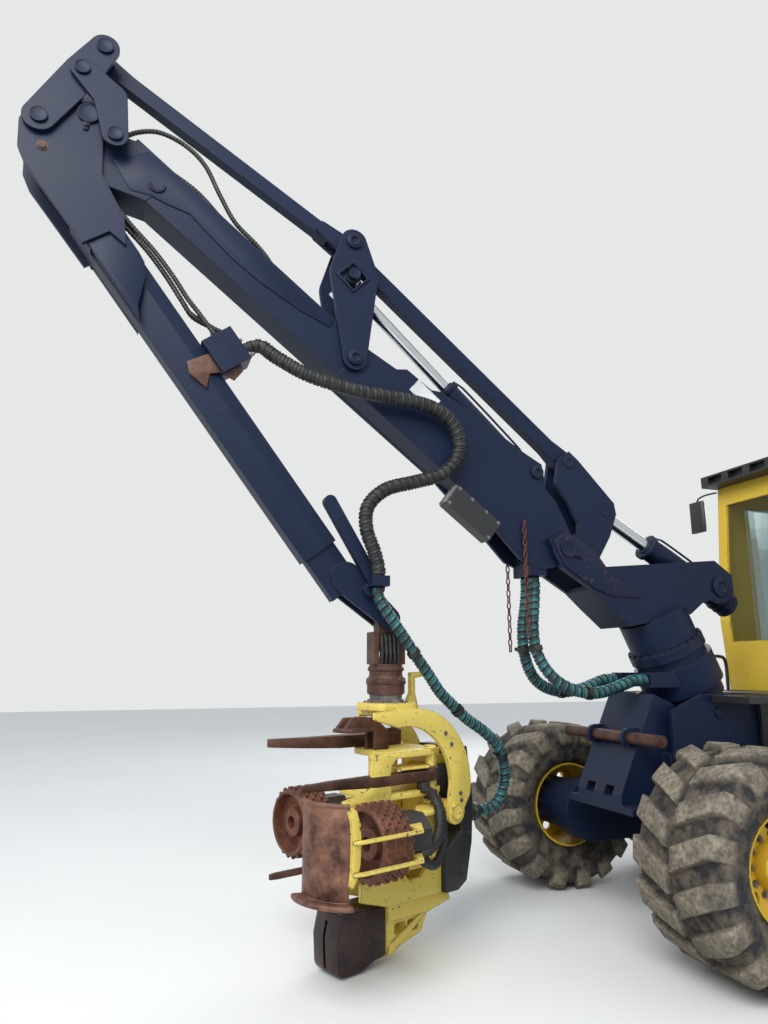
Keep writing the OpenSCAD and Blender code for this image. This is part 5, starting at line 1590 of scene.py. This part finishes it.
# Rotator
# A cast steel drum under a forged shackle, bare, oily and rusty. Turned collars with a ring of
# bolts are fitted round its neck, and stiff hydraulic hoses stand in loops between the plates.
loop_hose = 0.011
rotator_axis = Matrix.Translation((front_axle_x + head_x, 0, 0))
rotator_parts = [
    turned([(0.100, 1.700), (0.132, 1.700), (0.138, 1.708), (0.138, 1.728), (0.126, 1.736), (0.118, 1.760),
            (0.100, 1.760)]),
    turned([(0.100, 1.790), (0.121, 1.790), (0.126, 1.796), (0.126, 1.812), (0.118, 1.822), (0.100, 1.822)]),
    *ring_of(bolt, "rotator_bolt", 12, 0.126, 1.734)]
fit(join(rotator_parts, "rotator_collars"), "rotator_collars", rotator_axis, "rotator", "rusty_steel", rust_steel)
for k in range(5):
    # five loops on each side
    x = -0.060 + 0.030 * k
    bow = 0.0006 * (k % 2)
    for side, first in ((-1, 1), (1, 6)):
        loop = [(x, side * y, z) for y, z in ((0.086, 1.840), (0.098, 1.885), (0.092 + bow, 1.950), (0.086, 2.010),
                                              (0.040, 2.055))]
        pipe_run(f"rotator_hose_{k + first}", [rotator_axis @ Vector(p) for p in loop], loop_hose, sleeve_rubber,
                 "rotator", "dark_paint")


# Ladder, hand rails and mirrors
# Bent steel tubes painted dark, welded to the deck and the cab. The ladder hangs below the cab
# door, with treads of folded sheet, and the mirrors stand out on thin arms.
rail_radius = 0.016
arm_radius = 0.009
rail_y = 0.722
mirror_y = 1.010
deck_top = 1.606
for side, hand in hands:
    y = side * rail_y
    pipe_run(f"deck_rail_{hand}", from_front_axle([
        (-1.180, y, deck_top), (-1.180, y, 1.700), (-1.180, y, 1.840), (-1.200, y, 1.900), (-1.260, y, 1.920),
        (-1.460, y, 1.920), (-1.660, y, 1.920), (-1.720, y, 1.900), (-1.740, y, 1.840), (-1.740, y, 1.700),
        (-1.740, y, deck_top)]), rail_radius, dark_paint, "front", "dark_paint")
    y = side * mirror_y
    arm = from_front_axle([(-1.900, side * 0.790, 3.560), (-1.880, side * 0.860, 3.560), (-1.845, side * 0.940, 3.545),
                           (-1.838, side * 1.000, 3.500), (-1.838, y, 3.300)])
    pipe_run(f"mirror_arm_{hand}", arm, arm_radius, dark_paint, "front", "dark_paint")
    shell = level(box_outline(-1.860, -1.816, y - 0.100, y + 0.100, 0.020), 3.180, 3.500, 0.014)
    fit(shell, f"mirror_shell_{hand}", from_axle, "front", "dark_paint", dark_paint)
    pane = level(box_outline(-1.8625, -1.8595, y - 0.084, y + 0.084, 0.001), 3.198, 3.482, 0.0005)
    fit(pane, f"mirror_glass_{hand}", from_axle, "front", "chromed_rod", chrome)

ladder_parts = [level(box_outline(x, x + 0.010, 0.742, 0.802, 0.003), 0.620, deck_top, 0.002)
                for x in (-2.640, -2.330)]
for z in (0.640, 0.860, 1.080, 1.300, 1.520):
    tread = level(box_outline(-2.632, -2.328, 0.742, 0.802, 0.003), z, z + 0.024, 0.001)
    sink(tread, faces_up, 0.010, (0, 0, -0.008))
    ladder_parts.append(tread)
fit(join(ladder_parts, "ladder"), "ladder", from_axle, "front", "dark_paint", dark_paint)


# Cab fittings
# Black rubber gaskets seal the right and rear panes, and work lamps with clear lenses sit in the
# front of the roof. The door has a bent steel handle, screwed on with a plate.
gasket_radius = 0.011
lamp_count = 6
lamp_pitch = 0.260


def window_loop(corners, step):
    """A closed line through the corners of a window, rounded at each."""
    corners = [Vector(c) for c in corners]
    line = []
    for before, corner, after in zip(corners[-1:] + corners[:-1], corners, corners[1:] + corners[:1]):
        for share in (1, 0.3):
            line.append(corner + (before - corner).normalized() * step * share)
        line.append(corner + (after - corner).normalized() * step)
    return line + line[:1]


cab_back, cab_side = -3.450, 0.800
window_corners = {
    "side_right": [(x, -cab_side, z) for x, z in ((-3.200, 2.010), (-2.250, 2.010), (-2.250, 3.410), (-3.200, 3.410))],
    "rear": [(cab_back, y, z) for y, z in ((-0.650, 2.460), (0.650, 2.460), (0.650, 3.360), (-0.650, 3.360))],
}
for name, corners in window_corners.items():
    pipe_run(f"gasket_{name}", from_front_axle(window_loop(corners, 0.05)), gasket_radius, sleeve_rubber, "front",
             "dark_paint")
for k in range(lamp_count):
    lens = turned([(0, 0.020), (0.050, 0.018), (0.070, 0.010), (0.074, 0), (0.070, -0.030), (0, -0.030)])
    lens_at = (Matrix.Translation((front_axle_x - 1.845, lamp_pitch * (k - (lamp_count - 1) / 2), 3.655))
               @ rotation(90, "Y") @ Matrix.Scale(0.45, 4))
    fit(lens, f"roof_lamp_{k + 1}", lens_at, "front", "lamp_black", lamp_glass)

handle_plate = level(box_outline(-2.480, -2.400, 0.799, 0.806, 0.002), 2.060, 2.240, 0.001)
fit(handle_plate, "door_handle_plate", from_axle, "door", "dark_paint", dark_paint)
handle_route = from_front_axle([(-2.440, 0.806, 2.090), (-2.440, 0.840, 2.095), (-2.440, 0.850, 2.150),
                                (-2.440, 0.840, 2.205), (-2.440, 0.806, 2.210)])
pipe_run("door_handle", handle_route, arm_radius, dark_paint, "door", "dark_paint")


# Seat
# A sprung driver's seat in dark woven cloth over moulded foam: a cushion and a tall back with a
# headrest, two padded arms, and a box below that holds the spring.
def seat_cloth():
    """Woven polyester in charcoal grey, dull, with a yarn spacing of about 1.5 mm drawn at 3 mm."""
    material, tree, place = new_material("seat_cloth")
    weave = add(tree, "TexVoronoi", {"Vector": place, "Scale": 1 / 0.003})
    tone = add(tree, "Mix", {0: weave.outputs["Distance"], 6: rgb("#24272b"), 7: rgb("#3b3f44")}, data_type="RGBA")
    bump = add(tree, "Bump", {"Height": weave.outputs["Distance"], "Strength": 0.3, "Distance": 0.0005})
    shader = add(tree, "BsdfPrincipled", {
        "Base Color": tone.outputs[2], "Roughness": 0.9, "Sheen Weight": 0.2, "Normal": bump.outputs["Normal"]})
    add(tree, "OutputMaterial", {"Surface": shader.outputs["BSDF"]})
    return material


woven_cloth = seat_cloth()
seat_origin = Vector((front_axle_x - 3.100, 0, 1.620))


def cushion(name, low, high, crown):
    """A closed pad between two corners: a subdivided box whose faces swell and whose corners pull in."""
    size = Vector(high) - Vector(low)
    centre = seat_origin + (Vector(low) + Vector(high)) / 2
    deselect()
    bpy.ops.mesh.primitive_cube_add(size=1, location=centre)
    bpy.ops.transform.resize(value=size)
    pad = set_down(bpy.context.object)
    edit_all()
    bpy.ops.mesh.bevel(offset=min(size) * 0.28, segments=3)
    bpy.ops.mesh.select_all(action="SELECT")
    bpy.ops.mesh.subdivide(number_cuts=5)
    to_object_mode()
    for vertex in pad.data.vertices:
        share = [(vertex.co[i] - centre[i]) / (size[i] / 2) for i in range(3)]
        pull = [max(0.0, 1 - share[(i + 1) % 3] ** 2) * max(0.0, 1 - share[(i + 2) % 3] ** 2) for i in range(3)]
        for i in range(3):
            vertex.co[i] += share[i] * crown * (pull[i] - 0.45)
    pad.name = name
    dress(pad, "front", "seat_fabric", woven_cloth)
    return pad


# low and high corner, and swell of the faces
seat_pads = [cushion("seat_cushion", (0, -0.255, 0.385), (0.540, 0.255, 0.510), 0.020),
             cushion("seat_backrest", (-0.060, -0.245, 0.500), (0.070, 0.245, 1.030), 0.020),
             cushion("seat_headrest", (-0.050, -0.150, 1.045), (0.060, 0.150, 1.210), 0.014),
             *[cushion(f"seat_arm_{hand}", (0.100, side * 0.310 - 0.048, 0.545),
                       (0.520, side * 0.310 + 0.048, 0.620), 0.010) for side, hand in hands]]
frame_parts = [level(box_outline(0.100, 0.400, -0.150, 0.150, 0.020), 0.0, 0.372, 0.006),
               level(box_outline(0.020, 0.520, -0.235, 0.235, 0.030), 0.366, 0.388, 0.006),
               level(box_outline(-0.075, -0.050, -0.200, 0.200, 0.010), 0.400, 1.130, 0.006),
               *[level(box_outline(0.200, 0.260, y - 0.020, y + 0.020, 0.006), 0.380, 0.556, 0.004)
                 for y in (0.290, -0.290)]]
seat_frame = fit(join(frame_parts, "seat_frame"), "seat_frame", Matrix.Translation(seat_origin), "front", "dark_paint",
                 dark_paint)
for piece in (seat_frame, *seat_pads):
    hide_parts("seat")


# Engine hood fittings
# Frames bent from steel tube round the louvres, painted yellow with the hood, moulded rubber latches
# that hook its lower edge down, and a turned steel lip on the exhaust's end, gone rusty.
hood_side = 0.700
for side, hand in hands:
    corners = [(x, side * (hood_side + 0.004), z)
               for x, z in ((-6.180, 1.410), (-5.420, 1.410), (-5.420, 1.990), (-6.180, 1.990))]
    pipe_run(f"louvre_frame_{hand}", from_front_axle(window_loop(corners, 0.03)), 0.010, yellow_paint, "rear",
             "yellow_paint")
    for k, x in enumerate((-5.100, -4.300)):
        near, far = sorted((side * (hood_side - 0.001), side * (hood_side + 0.018)))
        latch = upright([(x + u, z) for u, z in ((-0.020, 1.250), (0.020, 1.250), (0.026, 1.330), (0.014, 1.390),
                                                 (-0.014, 1.390), (-0.026, 1.330))], near, far, 0.004)
        fit(latch, f"hood_latch_{hand}_{k + 1}", from_axle, "rear", "dark_paint", sleeve_rubber)
exhaust_lip = turned([(0.048, 0), (0.066, 0), (0.070, 0.012), (0.066, 0.024), (0.048, 0.024), (0.044, 0.012)])
exhaust_end = Matrix.Translation((front_axle_x - 4.500, -0.450, 2.992))
fit(exhaust_lip, "exhaust_lip", exhaust_end, "rear", "rusty_steel", rust_steel)

# the bolt that the copies were taken from
drop(bolt)


low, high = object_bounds()
